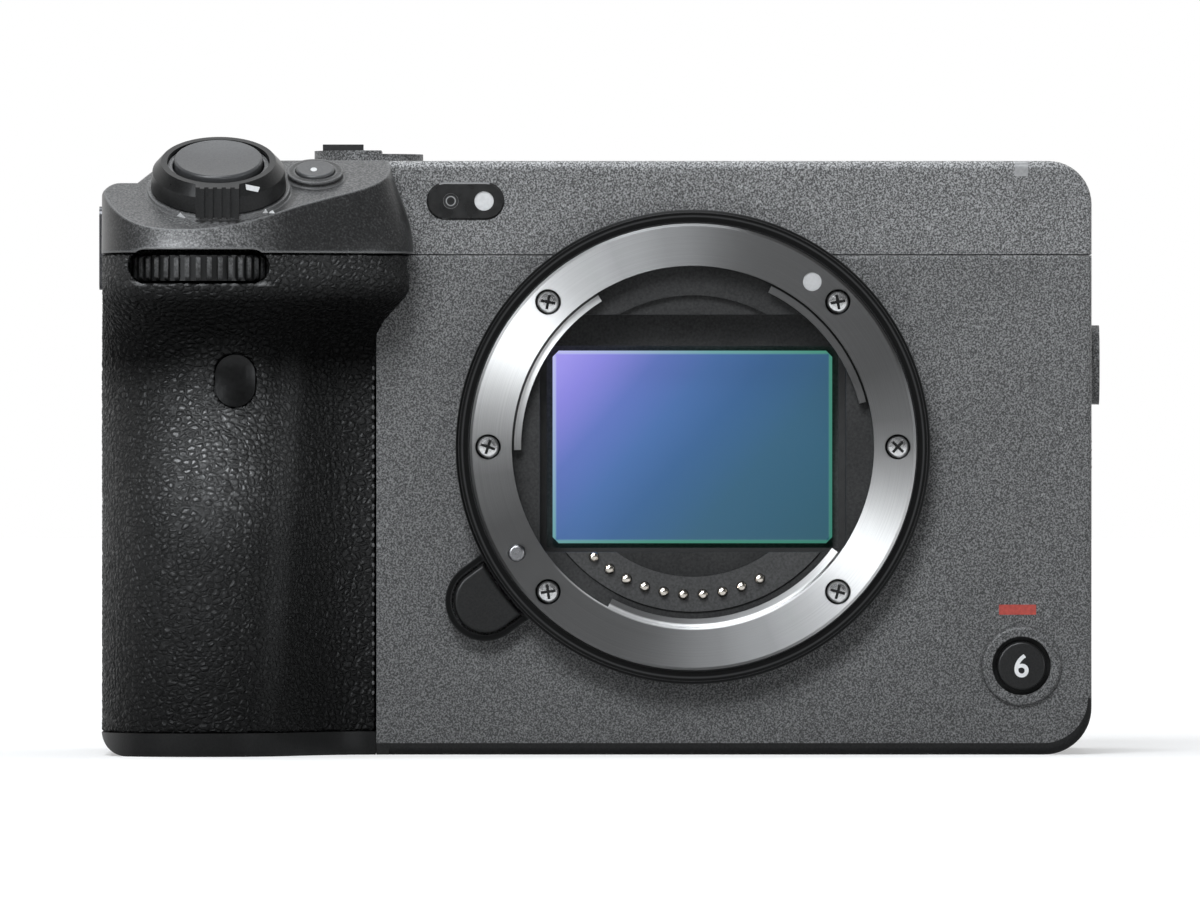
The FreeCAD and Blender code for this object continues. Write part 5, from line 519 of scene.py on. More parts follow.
def reach_on_deck(finish, seat):
    """Distance from an axis that leans with the deck and passes through a seat given in mm."""
    level = finish.put("Mapping", Vector=finish.place(), Location=mm(*seat),
                       Rotation=(math.radians(DECK_LEAN), 0.0, 0.0), vector_type="TEXTURE")
    return finish.vector("LENGTH", finish.vector("MULTIPLY", level.outputs[0], (1.0, 1.0, 0.0)))


satin_metal("screw_steel", (0.72, 0.72, 0.72), 0.24).wear("mount_screws")
satin_metal("bush_steel", (0.10, 0.10, 0.102), 0.42).wear("case_screws", "thread_bushes")
satin_metal("contact_gold", (0.92, 0.72, 0.36), 0.2).wear("lens_contacts")
satin_metal("pin_steel", (0.30, 0.30, 0.31), 0.3).wear("lock_pin")
satin_metal("dark_steel", (0.10, 0.10, 0.105), 0.3).wear("strap_lugs")
satin_metal("shoe_steel", (0.09, 0.09, 0.092), 0.5, stretch=BRUSHED).wear("accessory_shoe")
satin_metal("brushed_steel", (0.40, 0.40, 0.41), 0.34, stretch=BRUSHED).wear("connectors", "card_reader")
satin_metal("cast_metal", (0.38, 0.38, 0.39), 0.5, 900.0).wear(
    "chassis", "sensor_base", "sensor_frame", "heat_sink")
button_finish("button_grey", 0.066).wear("release_button")
small = button_finish("small_button", 0.074)
collar = small.calc("GREATER_THAN", reach_on_deck(small, SMALL_SEAT), COLLAR_FROM)
small.dress(Base_Color=small.mix(collar, small.tone(), 0.014))
small.wear("deck_button")
switch = powder_paint("switch_paint", 0.088)
bar = switch.calc("GREATER_THAN", switch.parts()[2], SWITCH_BAR_Z)
switch.dress(Base_Color=switch.mix(bar, switch.tone(), 0.012))
switch.wear("power_switch")
print("metals done")

# %% [markdown]
# ## Glass, electronics and the rest
# The sensor lies deep in the throat under its own cover glass. The colour of its filter shifts
# from blue violet at the upper left to a dark blue green at the lower right, so its finish is a
# gradient over the glass with a clear coat on top and a paler rim. Most of that colour glows, a
# painted reflection, and the paler rim glows as a painted highlight. The monitor's glass has a dark
# border round its picture. Of the lamp window's two lenses the left one is a dark eye with bright
# rings, painted highlights, the right one is frosted. The battery, board and ceramic are seen
# through gaps only.

# %% Sensor and small finishes
SENSOR_HALF = mm(18.15, 12.5)
SENSOR_TONES = ((0.0, (0.38, 0.33, 0.88)), (0.12, (0.25, 0.24, 0.72)), (0.25, (0.105, 0.162, 0.46)),
                (0.38, (0.060, 0.138, 0.34)), (0.5, (0.040, 0.112, 0.255)), (0.68, (0.033, 0.105, 0.178)),
                (1.0, (0.020, 0.086, 0.122)))
RIM_TONES = ((0.0, (0.60, 0.62, 0.95)), (0.35, (0.20, 0.45, 0.42)), (0.6, (0.085, 0.33, 0.21)),
             (1.0, (0.06, 0.26, 0.18)))


def inside(finish, middle, half):
    """How far inside an upright rectangle the place is, from its middle and half size in x and z."""
    x, _, z = finish.parts()
    gaps = [finish.calc("SUBTRACT", size, finish.off(value, centre))
            for value, centre, size in zip((x, z), middle, half)]
    return finish.calc("MINIMUM", *gaps)


# The glass glows in its filter's colours, a painted reflection; its base colour is a dim copy.
sensor = Finish("sensor_glass", (0.05, 0.12, 0.25), 0.15, specular=0.4, Coat_Weight=0.4, Coat_Roughness=0.03,
                Emission_Strength=0.95)
x, _, z = sensor.parts()
slant = sensor.calc("ADD", sensor.fade(x, -SENSOR_HALF[0], SENSOR_HALF[0], 0.0, 0.62),
                    sensor.fade(z, AXIS_Z + SENSOR_HALF[1], AXIS_Z - SENSOR_HALF[1], 0.0, 0.38))
sensor_tone = sensor.ramp(slant, *SENSOR_TONES)
# The paler rim glows too: a painted highlight along the glass's edges.
rim_glow = sensor.fade(inside(sensor, (0.0, AXIS_Z), SENSOR_HALF), *mm(0.30, 0.55), 0.8, 0.0)
sensor.dress(Base_Color=sensor.times(sensor_tone, 0.3),
             Emission_Color=sensor.mix(rim_glow, sensor_tone, sensor.ramp(slant, *RIM_TONES)))
sensor.wear("sensor_glass")
moulded("sensor_ceramic", 0.05, 0.5).wear("sensor_stage")
moulded("board_green", 0.03, 0.4).wear("main_board")
moulded("battery_grey", 0.12, 0.5).wear("battery")

SCREEN_MIDDLE = mm(8.25, 35.5)
SCREEN_HALF = mm(37.35, 26.6)
screen = Finish("screen_glass", (0.012, 0.013, 0.015), 0.06, Coat_Weight=0.4, Coat_Roughness=0.02)
picture = screen.fade(inside(screen, SCREEN_MIDDLE, SCREEN_HALF), *mm(3.0, 3.2))
screen.dress(Base_Color=screen.mix(picture, (0.003, 0.003, 0.0035), (0.016, 0.018, 0.022)),
             Roughness=screen.ramp(screen.noise(55.0), (0.3, 0.05), (0.7, 0.09)))
screen.wear("monitor_glass")

EYE_MIDDLE = mm(-31.3, 71.6)
EYE_SPAN = 2.0 * MM
FROSTED_FROM = -29.0 * MM
lamps = Finish("lamp_glass", 0.7, 0.25, Coat_Weight=0.5, Coat_Roughness=0.05)
x, _, z = lamps.parts()
# The left lens is dark with two bright rings, which are painted highlights.
eye_and_highlight_rings = lamps.ramp(lamps.calc("DIVIDE", reach(lamps, x, EYE_MIDDLE[0], z, EYE_MIDDLE[1]), EYE_SPAN),
                 (0.0, 0.012), (0.24, 0.012), (0.29, 0.45), (0.34, 0.03), (0.46, 0.02), (0.5, 0.30))
frosted = lamps.ramp(lamps.noise(1500.0), (0.3, 0.66), (0.7, 0.78))
lamps.dress(Base_Color=lamps.mix(lamps.calc("GREATER_THAN", x, FROSTED_FROM), eye_and_highlight_rings, frosted))
lamps.wear("lamp_lenses")
moulded("tally_lens", 0.35, 0.25, spread=0.1).wear("tally_lamp")
print("all nodes finished:", not [n for n, o in nodes.items() if not o.material_slots])

# %% [markdown]
# ## The crown over the grip
# The top of the grip is one smooth form with two finishes: its deck, which faces up, has the
# casing's grey paint, and its skirt is smooth black with a little sparkle and a painted highlight
# in the middle. The way a face turns decides which one it gets. Round the small button the deck
# stays black; round the lever it gets painted shade, and a painted shadow of the lever lies in
# front of it. A Bevel node rounds the ridge between deck and skirt so that it catches a thin line
# of light, and a painted highlight runs along it too.

# %% Crown finish
CROWN_MIDDLE = -63.0 * MM
crown = Finish("crown_finish", 0.02, 0.34, specular=0.4)
facing = crown.put("SeparateXYZ", crown.put("TexCoord").outputs["Normal"]).outputs["Z"]
x, _, z = crown.parts()
crown_grain = crown.noise(3600.0, 1.0, 0.6)
deck_paint = crown.ramp(crown_grain, (0.33, 0.045), (0.5, 0.085), (0.67, 0.15))
skirt_black = crown.ramp(crown_grain, (0.35, 0.010), (0.6, 0.022), (0.75, 0.05))
# A painted highlight makes the skirt paler in its middle.
skirt_highlight_tone = crown.ramp(crown_grain, (0.33, 0.055), (0.5, 0.125), (0.67, 0.26))
skirt_highlight = crown.fade(crown.off(x, CROWN_MIDDLE), *mm(2.0, 12.0), 0.95, 0.05, smooth=True)
skirt = crown.mix(skirt_highlight, skirt_black, skirt_highlight_tone)
painted = crown.calc("MAXIMUM", crown.fade(facing, 0.62, 0.72), crown.fade(z, *mm(74.3, 74.6)))
# The deck stays black round the small button; round the lever it gets painted shade, and a painted shadow of
# the lever in front.
for seat, dark_radius, soft in ((LEVER_SEAT, 9.4, 1.2), (LEVER_SHADOW, 9.5, 0.7), (SMALL_SEAT, 3.6, 0.7)):
    beyond = crown.fade(reach_on_deck(crown, seat), *mm(dark_radius, dark_radius + soft))
    painted = crown.product(painted, beyond)
# A painted highlight, a paler colour, runs along the rounded ridge.
round_normal, ridge_highlight = rounded(crown, 0.45 * MM, 0.985)
crown.dress(Base_Color=crown.mix(ridge_highlight, crown.mix(painted, skirt, deck_paint), 0.22))
crown.bump(crown_grain, 0.015 * MM, Normal=round_normal)
crown.wear("grip_crown")
print("crown finished")

# %% [markdown]
# ## Small workshop
# The pieces below share a few tools. `new_piece` turns a mesh into an object at the origin,
# `plain` keeps what its modifiers made as a plain mesh, and `Tree` is a short way to build a
# Geometry Nodes tree with named inputs, whose `grow` runs it on a piece.

# %% Workshop helpers
def new_piece(name, mesh, finish=None, smooth=True):
    piece = in_scene(name, mesh)
    if finish:
        mesh.materials.clear()
        mesh.materials.append(finish.mat)
    if smooth:
        mesh.shade_smooth()
    return piece


def hidden_part(name, mesh):
    """An object that is only copied by a tree or cut with, then removed."""
    return new_piece(name, mesh, smooth=False)


def drop(*parts):
    for part in parts:
        bpy.data.objects.remove(part)


def bmesh_of(node_name):
    """A copy of a CAD node's mesh, free to be changed."""
    bm = bmesh.new()
    bm.from_mesh(nodes[node_name].data)
    return bm


def from_bmesh(name, bm, turn_out=True):
    """A bmesh as a mesh, with its faces turned outward."""
    if turn_out:
        bmesh.ops.recalc_face_normals(bm, faces=bm.faces)
    mesh = bpy.data.meshes.new(name)
    bm.to_mesh(mesh)
    bm.free()
    return mesh


def made_mesh(thing):
    return bpy.data.meshes.new_from_object(thing.evaluated_get(bpy.context.evaluated_depsgraph_get()))


def plain(piece):
    """Bake the piece's modifiers into its mesh."""
    mesh = made_mesh(piece)
    piece.modifiers.clear()
    piece.data = mesh
    return piece


class Tree(Nodes):
    """A Geometry Nodes tree. Its sizes, objects and finish are named inputs."""

    def __init__(self, name, **sizes):
        super().__init__(bpy.data.node_groups.new(name, "GeometryNodeTree"))
        self.sizes = {key: value.mat if isinstance(value, Finish) else value for key, value in sizes.items()}
        self.socket("Geometry", "Geometry")
        self.socket("Geometry", "Geometry", "OUTPUT")
        for key, value in self.sizes.items():
            self.socket(key, {float: "Float", int: "Int"}.get(type(value), type(value).__name__))
        self.start = self.put("NodeGroupInput").outputs

    def socket(self, name, kind, side="INPUT"):
        self.tree.interface.new_socket(name.replace("_", " "), in_out=side, socket_type="NodeSocket" + kind)

    def join_xyz(self, x, y, z):
        return self.put("CombineXYZ", x, y, z).outputs[0]

    def model(self, name):
        """The shape of an object that is an input of the tree."""
        return self.put("GeometryNodeObjectInfo", Object=self.start[name]).outputs["Geometry"]

    def moved(self, geometry, **to):
        return self.put("GeometryNodeSetPosition", Geometry=geometry, **to).outputs[0]

    def end_with_copies(self, points, name, **more):
        """Set a copy of an input object on each point, and finish."""
        copies = self.put("GeometryNodeInstanceOnPoints", Points=points, Instance=self.model(name), **more)
        self.end(copies.outputs[0])

    def end(self, geometry):
        real = self.put("GeometryNodeRealizeInstances", geometry).outputs[0]
        dressed = self.put("GeometryNodeSetMaterial", Geometry=real, Material=self.start["Finish"])
        self.put("NodeGroupOutput", dressed.outputs[0])

    def grow(self, piece):
        run = piece.modifiers.new(self.tree.name, "NODES")
        run.node_group = self.tree
        for item in self.tree.interface.items_tree:
            key = item.name.replace(" ", "_")
            if item.in_out == "INPUT" and key in self.sizes:
                run[item.identifier] = self.sizes[key]
        return plain(piece)

    def grow_new(self, name):
        return self.grow(new_piece(name, bpy.data.meshes.new(name)))


print("workshop ready")

# %% [markdown]
# ## Grip leather
# The grip is covered by one moulded rubber skin with a pebbled leather grain: rounded cells a
# good millimetre wide with narrow valleys between. The finish colours the cells and adds pores.
# A place polished by the palm is smoother and glossier and has a painted highlight, in which each
# pebble has a tone of its own. Painted highlights lie along a soft crease and on the lip under the
# front dial. Painted shade darkens the grip below the crown and low down, and painted light
# brightens its middle and top.

# %% Leather finish
GRAIN_CELL = 1.0 * MM
GRAIN_VALLEY = 0.32
GRAIN_STRETCH = (1.0, 1.0, 1.45)
BEND_SCALE = 900.0
BEND = (0.0007, 0.0007, 0.0007)
GRIP_TOP = 65.0 * MM
PALM_SQUASH = (1.0, 0.0, 0.85)
PALM_SHIFT = mm(60.0, 0.0, -33.5)
CREASE_LEAN = 0.066
CREASE_X = 54.9 * MM
DIAL_X = -63.6 * MM
DIAL_LIP_Z = 60.75 * MM


def bent(tree, where):
    """A place drawn out upwards, which leaves the cells wider than tall, and bent by a noise."""
    drawn_out = tree.vector("MULTIPLY", where, GRAIN_STRETCH)
    shake = tree.put("TexNoise", Vector=where, Scale=BEND_SCALE, Detail=1.0).outputs["Color"]
    return tree.vector("ADD", drawn_out, tree.vector("MULTIPLY", shake, BEND))


leather = Finish("grip_leather", 0.008, 0.4)
pattern = bent(leather, leather.place())
border = leather.cells(1.0 / GRAIN_CELL, "DISTANCE_TO_EDGE", at=pattern)
pebble = leather.fade(border, 0.0, GRAIN_VALLEY, smooth=True)
x, y, z = leather.parts()
# Painted shade below the crown and low down, painted light in the middle and at the top; it sets the gloss too.
in_shade = leather.ramp(leather.calc("DIVIDE", z, GRIP_TOP), (0.0, 0.38), (0.5, 1.1), (0.70, 0.9), (0.79, 0.22),
                        (0.9, 0.3), (0.955, 1.3))
hand_tone = leather.ramp(leather.noise(70.0, 3.0), (0.3, 0.8), (0.7, 1.25))
base_tone = leather.times(leather.ramp(pebble, (0.0, 0.0035), (0.8, 0.009)), hand_tone)
base_tone = leather.times(base_tone, in_shade)

on_front = leather.fade(y, *mm(-24.0, -27.0))
# A painted highlight along a soft crease down the front of the grip.
crease_x = leather.calc("SUBTRACT", leather.product(z, CREASE_LEAN), CREASE_X)
crease_highlight = leather.fade(leather.off(x, crease_x), *mm(0.3, 2.2), 1.0, 0.0, smooth=True)
crease_highlight = leather.product(crease_highlight, leather.fade(z, *mm(2.0, 20.0)), leather.fade(z, *mm(53.0, 47.0)), on_front)
base_tone = leather.mix(crease_highlight, base_tone, 0.016, "ADD")

# A painted highlight on the lip under the front dial.
under_dial = leather.fade(leather.off(z, DIAL_LIP_Z), *mm(0.15, 0.4), 1.0, 0.0)
beside_dial = leather.fade(leather.off(x, DIAL_X), *mm(9.0, 9.6), 1.0, 0.0)
lip_highlight_tone = leather.ramp(leather.noise(900.0), (0.42, 0.004), (0.62, 0.16))
base_tone = leather.mix(leather.product(under_dial, beside_dial, on_front), base_tone, lip_highlight_tone, "ADD")

# The palm's place is smoother and glossier, and a painted highlight lies on its pebbles.
from_palm = leather.vector("MULTIPLY_ADD", leather.place(), PALM_SQUASH, PALM_SHIFT)
polish_and_highlight = leather.fade(leather.vector("LENGTH", from_palm), *mm(1.0, 13.0), 1.0, 0.0, smooth=True)
pebble_lot = leather.ramp(leather.cells(1.0 / GRAIN_CELL, out="Color", at=pattern), (0.2, 0.25), (0.8, 2.0))
palm_highlight_tone = leather.times(leather.ramp(pebble, (0.15, 0.0), (0.95, 0.054)), pebble_lot)
rough_tone = leather.ramp(pebble, (0.0, 0.62), (0.9, 0.42))
leather.dress(
    Base_Color=leather.mix(polish_and_highlight, base_tone, palm_highlight_tone, "ADD"),
    Roughness=leather.calc("SUBTRACT", rough_tone, leather.product(polish_and_highlight, 0.06)),
    Specular_IOR_Level=leather.calc("ADD", leather.product(in_shade, 0.36), leather.product(polish_and_highlight, 0.5)))
pores = leather.product(leather.cells(2600.0), 0.25)
leather.bump(leather.calc("SUBTRACT", pebble, pores), 0.16 * MM)
print("leather finish ready")

# %% [markdown]
# ## Leather relief
# A bump alone would leave the grip's outline smooth, so the grain is real relief: the CAD skin is
# remeshed into small even faces, and a Geometry Nodes tree sinks the valleys along the same cell
# pattern as the finish.

# %% Leather relief
SKIN_VOXEL = 0.36 * MM
skin_mesh = bmesh_of("grip_skin")
bmesh.ops.remove_doubles(skin_mesh, verts=skin_mesh.verts, dist=0.001 * MM)
skin = new_piece("grip_leather", from_bmesh("grip_leather", skin_mesh, turn_out=False), leather)
remesh = skin.modifiers.new("remesh", "REMESH")
remesh.mode = "VOXEL"
remesh.voxel_size = SKIN_VOXEL
remesh.use_smooth_shade = True
plain(skin)

grain = Tree("pebble_grain", Cell_Size=GRAIN_CELL, Depth=0.15 * MM, Valley=GRAIN_VALLEY, Finish=leather)
pattern = bent(grain, grain.put("GeometryNodeInputPosition").outputs[0])
cell_scale = grain.calc("DIVIDE", 1.0, grain.start["Cell Size"])
borders = grain.put("TexVoronoi", Vector=pattern, Scale=cell_scale, feature="DISTANCE_TO_EDGE")
valley = grain.fade(borders.outputs["Distance"], 0.0, grain.start["Valley"], 1.0, 0.0, smooth=True)
sink = grain.product(valley, grain.start["Depth"], -1.0)
normal = grain.put("GeometryNodeInputNormal").outputs[0]
grain.end(grain.moved(grain.start["Geometry"], Offset=grain.vector("SCALE", normal, Scale=sink)))
grain.grow(skin)
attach(skin, "root")
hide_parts("grip_skin")
print("leather faces:", len(skin.data.polygons))

# %% [markdown]
# ## The beaded edge of the leather
# Where the skin ends against the front of the casing, the mould leaves a row of tiny teeth that
# lock it to the metal. From the front they show as pale dots. They follow the skin's surface, so
# a tree lays a line of points in front of it, throws a ray from each back onto the skin, and
# sets a small bead where the ray lands.

# %% Edge beads
EDGE_X = -41.35 * MM
LINE_Y = -0.1
bead_mesh = bmesh.new()
bmesh.ops.create_icosphere(bead_mesh, subdivisions=2, radius=1.0,
                           matrix=Matrix.Diagonal((*mm(0.20, 0.12, 0.30), 1.0)))
bead = hidden_part("bead", from_bmesh("bead", bead_mesh))
edging = Tree("edge_beads", Bead=bead, Skin=skin, Pitch=1.25 * MM, Low=8.0 * MM, High=50.0 * MM,
              Finish=moulded("bead_rubber", 0.075, 0.45, specular=0.4))
low_end, high_end = [edging.join_xyz(EDGE_X, LINE_Y, edging.start[end]) for end in ("Low", "High")]
line = edging.put("GeometryNodeCurvePrimitiveLine", Start=low_end, End=high_end)
beads_at = edging.put("GeometryNodeCurveToPoints", Curve=line.outputs[0], Length=edging.start["Pitch"],
                      mode="LENGTH")
look = edging.put("GeometryNodeRaycast", Target_Geometry=edging.model("Skin"), Ray_Direction=(0.0, 1.0, 0.0),
                  Ray_Length=0.2)
landed = edging.moved(beads_at.outputs["Points"], Position=look.outputs["Hit Position"])
edging.end_with_copies(landed, "Bead")
edge_beads = edging.grow_new("leather_edge_beads")
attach(edge_beads, "root")
drop(bead)
print("edge beads:", len(edge_beads.data.polygons), "faces")

# %% [markdown]
# ## Mount screws
# Six cross-head screws hold the bayonet ring. Each has a cone that sinks into the ring, a low
# domed head and a cross recess. One screw is turned from a profile and the cross is cut out of
# it; a tree then sets a copy at each of the six places and turns each by its own angle, because
# no two real screws stop alike. The steel is dark down in the cross, where no light gets.

# %% Mount screws
MOUNT_Y = -27.0 * MM
SCREW_CIRCLE = 26.45 * MM
SCREW_ANGLES = (0, 45, 135, 180, 225, 315)
SCREW_PROFILE = ((0.0, 1.6), (0.85, 1.6), (0.85, 0.95), (1.62, 0.75), (1.62, 0.5), (1.28, 0.16), (1.16, 0.06),
                 (0.7, 0.0), (0.0, -0.02))
CROSS_SLOT = (1.9, 0.9, 0.36)


def cube(size):
    """A cube in bmesh form, stretched to a size in mm."""
    bm = bmesh.new()
    bmesh.ops.create_cube(bm, size=1.0, matrix=Matrix.Diagonal((*mm(*size), 1.0)))
    return bm


def lathe(name, profile, steps=32):
    """A solid turned round the Y axis from (radius, y) points in mm, the first and last on the axis."""
    bm = bmesh.new()
    verts = [bm.verts.new((r * MM, y * MM, 0.0)) for r, y in profile]
    edges = [bm.edges.new(pair) for pair in zip(verts, verts[1:])]
    bmesh.ops.spin(bm, geom=verts + edges, axis=(0, 1, 0), cent=(0, 0, 0), steps=steps, angle=math.tau)
    bmesh.ops.remove_doubles(bm, verts=bm.verts, dist=1e-7)
    return from_bmesh(name, bm)


def cross_bar(turn):
    bm = cube(CROSS_SLOT)
    bmesh.ops.transform(bm, matrix=Matrix.Rotation(turn, 4, "Y"), verts=bm.verts)
    return hidden_part("bar", from_bmesh("bar", bm))


def cut(piece, *cutters):
    for cutter in cutters:
        tool = piece.modifiers.new("cut", "BOOLEAN")
        tool.operation = "DIFFERENCE"
        tool.solver = "EXACT"
        tool.object = cutter
    plain(piece)
    drop(*cutters)


screw = hidden_part("screw", lathe("screw", SCREW_PROFILE))
cut(screw, cross_bar(0.0), cross_bar(math.pi / 2))
bolt = satin_metal("bolt_steel", (0.78, 0.78, 0.78), 0.2)
in_recess = bolt.fade(bolt.parts()[1], MOUNT_Y + 0.2 * MM, MOUNT_Y + 0.42 * MM)
bolt.dress(Base_Color=bolt.mix(in_recess, bolt.tone(), 0.05))
places = [Vector((math.cos(a), 0.0, math.sin(a))) * SCREW_CIRCLE for a in map(math.radians, SCREW_ANGLES)]
screw_places = bpy.data.meshes.new("mount_screw_set")
screw_places.from_pydata([(v.x, MOUNT_Y + 0.1 * MM, AXIS_Z + v.z) for v in places], [], [])
screw_set = new_piece("mount_screw_set", screw_places)
setting = Tree("screws_set", Screw=screw, Seed=7, Finish=bolt)
turn = setting.put("FunctionNodeRandomValue", Seed=setting.start["Seed"], data_type="FLOAT")
turn.inputs[3].default_value = math.pi
about_y = setting.join_xyz(0.0, turn.outputs[1], 0.0)
setting.end_with_copies(setting.start["Geometry"], "Screw", Rotation=about_y)
setting.grow(screw_set)
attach(screw_set, "root")
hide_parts("mount_screws")
drop(screw)
print("mount screws:", len(screw_set.data.polygons), "faces")

# %% [markdown]
# ## Lens contacts
# Ten sprung pins carry data to the lens. Each has a round nose that shines, and together they
# stand on an arc in the lower part of the throat. The tree counts the pins, finds each one's
# angle from its number, and sets a turned pin there.

# %% Lens contacts
PIN_Y = -25.6 * MM
PIN_PROFILE = ((0.0, 3.1), (0.62, 3.1), (0.62, 0.42), (0.56, 0.22), (0.42, 0.08), (0.2, 0.01), (0.0, 0.0))
pin = hidden_part("pin", lathe("pin", PIN_PROFILE, 20))
row = Tree("contact_row", Pin=pin, Count=10, Circle=19.1 * MM, First=math.radians(228.0),
           Step=math.radians(7.65), Finish=satin_metal("contact_metal", (0.80, 0.74, 0.66), 0.18))
points = row.put("GeometryNodePoints", Count=row.start["Count"]).outputs[0]
number = row.put("GeometryNodeInputIndex").outputs[0]
turned = row.calc("ADD", row.start["First"], row.product(number, row.start["Step"]))
across = row.product(row.calc("COSINE", turned), row.start["Circle"])
up = row.calc("ADD", row.product(row.calc("SINE", turned), row.start["Circle"]), AXIS_Z)
row.end_with_copies(row.moved(points, Position=row.join_xyz(across, PIN_Y, up)), "Pin")
pins = row.grow_new("contact_pins")
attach(pins, "lens_contacts")
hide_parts("lens_contacts")
drop(pin)
print("contact pins:", len(pins.data.polygons), "faces")

# %% [markdown]
# ## Printed marks
# White marks are printed on the controls: a tick on the lever, small triangles for its two
# directions, a dot on the small button and one on the ring. A short red bar sits over the front
# button. Each is a thin raised shape. Its outline is drawn in the picture plane and dropped onto
# the plane of the surface that a straight look meets at its middle.

# %% Printed marks
INK = 0.035 * MM
INK_SUNK = 0.05 * MM
LOOK_FROM = 0.2
white_ink = moulded("white_ink", 0.78, 0.4, spread=0.05)
red_ink = Finish("red_ink", (0.42, 0.05, 0.035), 0.45)
red_ink.dress(Base_Color=red_ink.ramp(red_ink.noise(2500.0), (0.3, (0.34, 0.04, 0.03)),
                                      (0.7, (0.48, 0.065, 0.045))))
index_ink = moulded("index_ink", 0.55, 0.35, spread=0.04)
looked_at = {}


def surface_hit(node_name, x, z, behind=False):
    """Where a straight look from the front, or from behind, meets a CAD node, and how it faces there."""
    if node_name not in looked_at:
        bm = bmesh_of(node_name)
        looked_at[node_name] = BVHTree.FromBMesh(bm)
        bm.free()
    side = 1.0 if behind else -1.0
    return looked_at[node_name].ray_cast(Vector((x, LOOK_FROM * side, z)), Vector((0.0, -side, 0.0)))[:2]


def printed(name, outline, node_name, body, finish=white_ink, behind=False):
    """A flat mark: outline points are x, z in mm."""
    bm = bmesh.new()
    face = bm.faces.new([bm.verts.new((x * MM, 0.0, z * MM)) for x, z in outline])
    tops = bmesh.ops.extrude_face_region(bm, geom=[face])["geom"]
    top_verts = [v for v in tops if isinstance(v, bmesh.types.BMVert)]
    middle_x, middle_z = [sum(values) / len(outline) * MM for values in zip(*outline)]
    centre, facing = surface_hit(node_name, middle_x, middle_z, behind)
    for vert in list(bm.verts):
        slope = facing.x * (vert.co.x - centre.x) + facing.z * (vert.co.z - centre.z)
        spot = Vector((vert.co.x, centre.y - slope / facing.y, vert.co.z))
        vert.co = spot + facing * (INK if vert in top_verts else -INK_SUNK)
    piece = new_piece(name, from_bmesh(name, bm), finish, smooth=False)
    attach(piece, body)


def disc(x, z, r, steps=24, squash=1.0):
    turns = [i * math.tau / steps for i in range(steps)]
    return [(x + r * math.cos(a), z + squash * r * math.sin(a)) for a in turns]


def bar_shape(x0, x1, z0, z1):
    return [(x0, z0), (x1, z0), (x1, z1), (x0, z1)]


index_angle = math.radians(54.2)
INDEX_CIRCLE = 26.3
index_x, index_z = INDEX_CIRCLE * math.cos(index_angle), AXIS_MM + INDEX_CIRCLE * math.sin(index_angle)
printed("record_bar", bar_shape(39.6, 44.4, 18.1, 19.4), "front_cover", "root", red_ink)
printed("small_button_dot", disc(-48.9, 75.55, 0.42, 16, 0.6), "deck_button", "deck_button")
printed("lever_tick", [(-57.5, 73.5), (-57.4, 72.8), (-55.9, 72.5), (-55.7, 73.15)], "zoom_lever", "zoom_lever")
printed("wide_mark", [(-66.6, 69.2), (-65.2, 69.2), (-65.9, 69.85)], "grip_crown", "root")
for i, x in enumerate((-54.95, -54.15), 1):
    printed("tele_mark_%d" % i, [(x - 0.36, 69.8), (x + 0.36, 69.8), (x, 70.35)], "grip_crown", "root")
printed("index_dot", disc(index_x, index_z, 1.22), "mount_ring", "root", index_ink)
print("marks printed")

# %% [markdown]
# ## The back of the camera
# Nobody sees the back in the photograph, but the hand knows it: a pebbled rubber rest under the
# thumb, small white marks on the wheel and on the buttons, and a patch of sound holes. The rest
# is a stack of rounded outlines, each a little smaller and higher than the last one, which gives
# a pad with a soft rim. The marks use the same printing as the front, seen from behind.

# %% Thumb rest
REAR_Y = 36.0 * MM
REST_BOX = (-73.2, -59.8, 41.0, 62.6)
REST_CORNER = 5.0
REST_LEVELS = ((0.0, -0.1), (0.0, 0.45), (0.12, 0.72), (0.4, 0.9), (1.0, 1.0), (2.4, 1.12), (4.0, 1.2))


def round_outline(x0, x1, z0, z1, corner, steps=8):
    x0, x1, z0, z1 = x0 + corner, x1 - corner, z0 + corner, z1 - corner
    points = []
    for quarter, (cx, cz) in enumerate(((x1, z1), (x0, z1), (x0, z0), (x1, z0))):
        for i in range(steps + 1):
            a = (quarter + i / steps) * math.pi / 2
            points.append((cx + corner * math.cos(a), cz + corner * math.sin(a)))
    return points


rest_mesh = bmesh.new()
rings = []
x0, x1, z0, z1 = REST_BOX
for inset, proud in REST_LEVELS:
    outline = round_outline(x0 + inset, x1 - inset, z0 + inset, z1 - inset, REST_CORNER - inset * 0.9)
    rings.append([rest_mesh.verts.new((x * MM, REAR_Y + proud * MM, z * MM)) for x, z in outline])
for low, high in zip(rings, rings[1:]):
    for quad in zip(low, low[1:] + low[:1], high[1:] + high[:1], high):
        rest_mesh.faces.new(quad)
rest_mesh.faces.new(rings[-1])
rest_mesh.faces.new(rings[0])
rest = Finish("rest_rubber", 0.012, 0.5, specular=0.4)
rest_grain = rest.cells(950.0, "DISTANCE_TO_EDGE")
rest.dress(Base_Color=rest.ramp(rest_grain, (0.02, 0.005), (0.16, 0.014)),
           Roughness=rest.ramp(rest.noise(80.0), (0.3, 0.56), (0.7, 0.42)))
rest.bump(rest.ramp(rest_grain, (0.0, 0.0), (0.2, 1.0)), 0.12 * MM)
thumb_rest = new_piece("thumb_rest", from_bmesh("thumb_rest", rest_mesh), rest)
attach(thumb_rest, "root")
print("thumb rest:", len(thumb_rest.data.polygons), "faces")

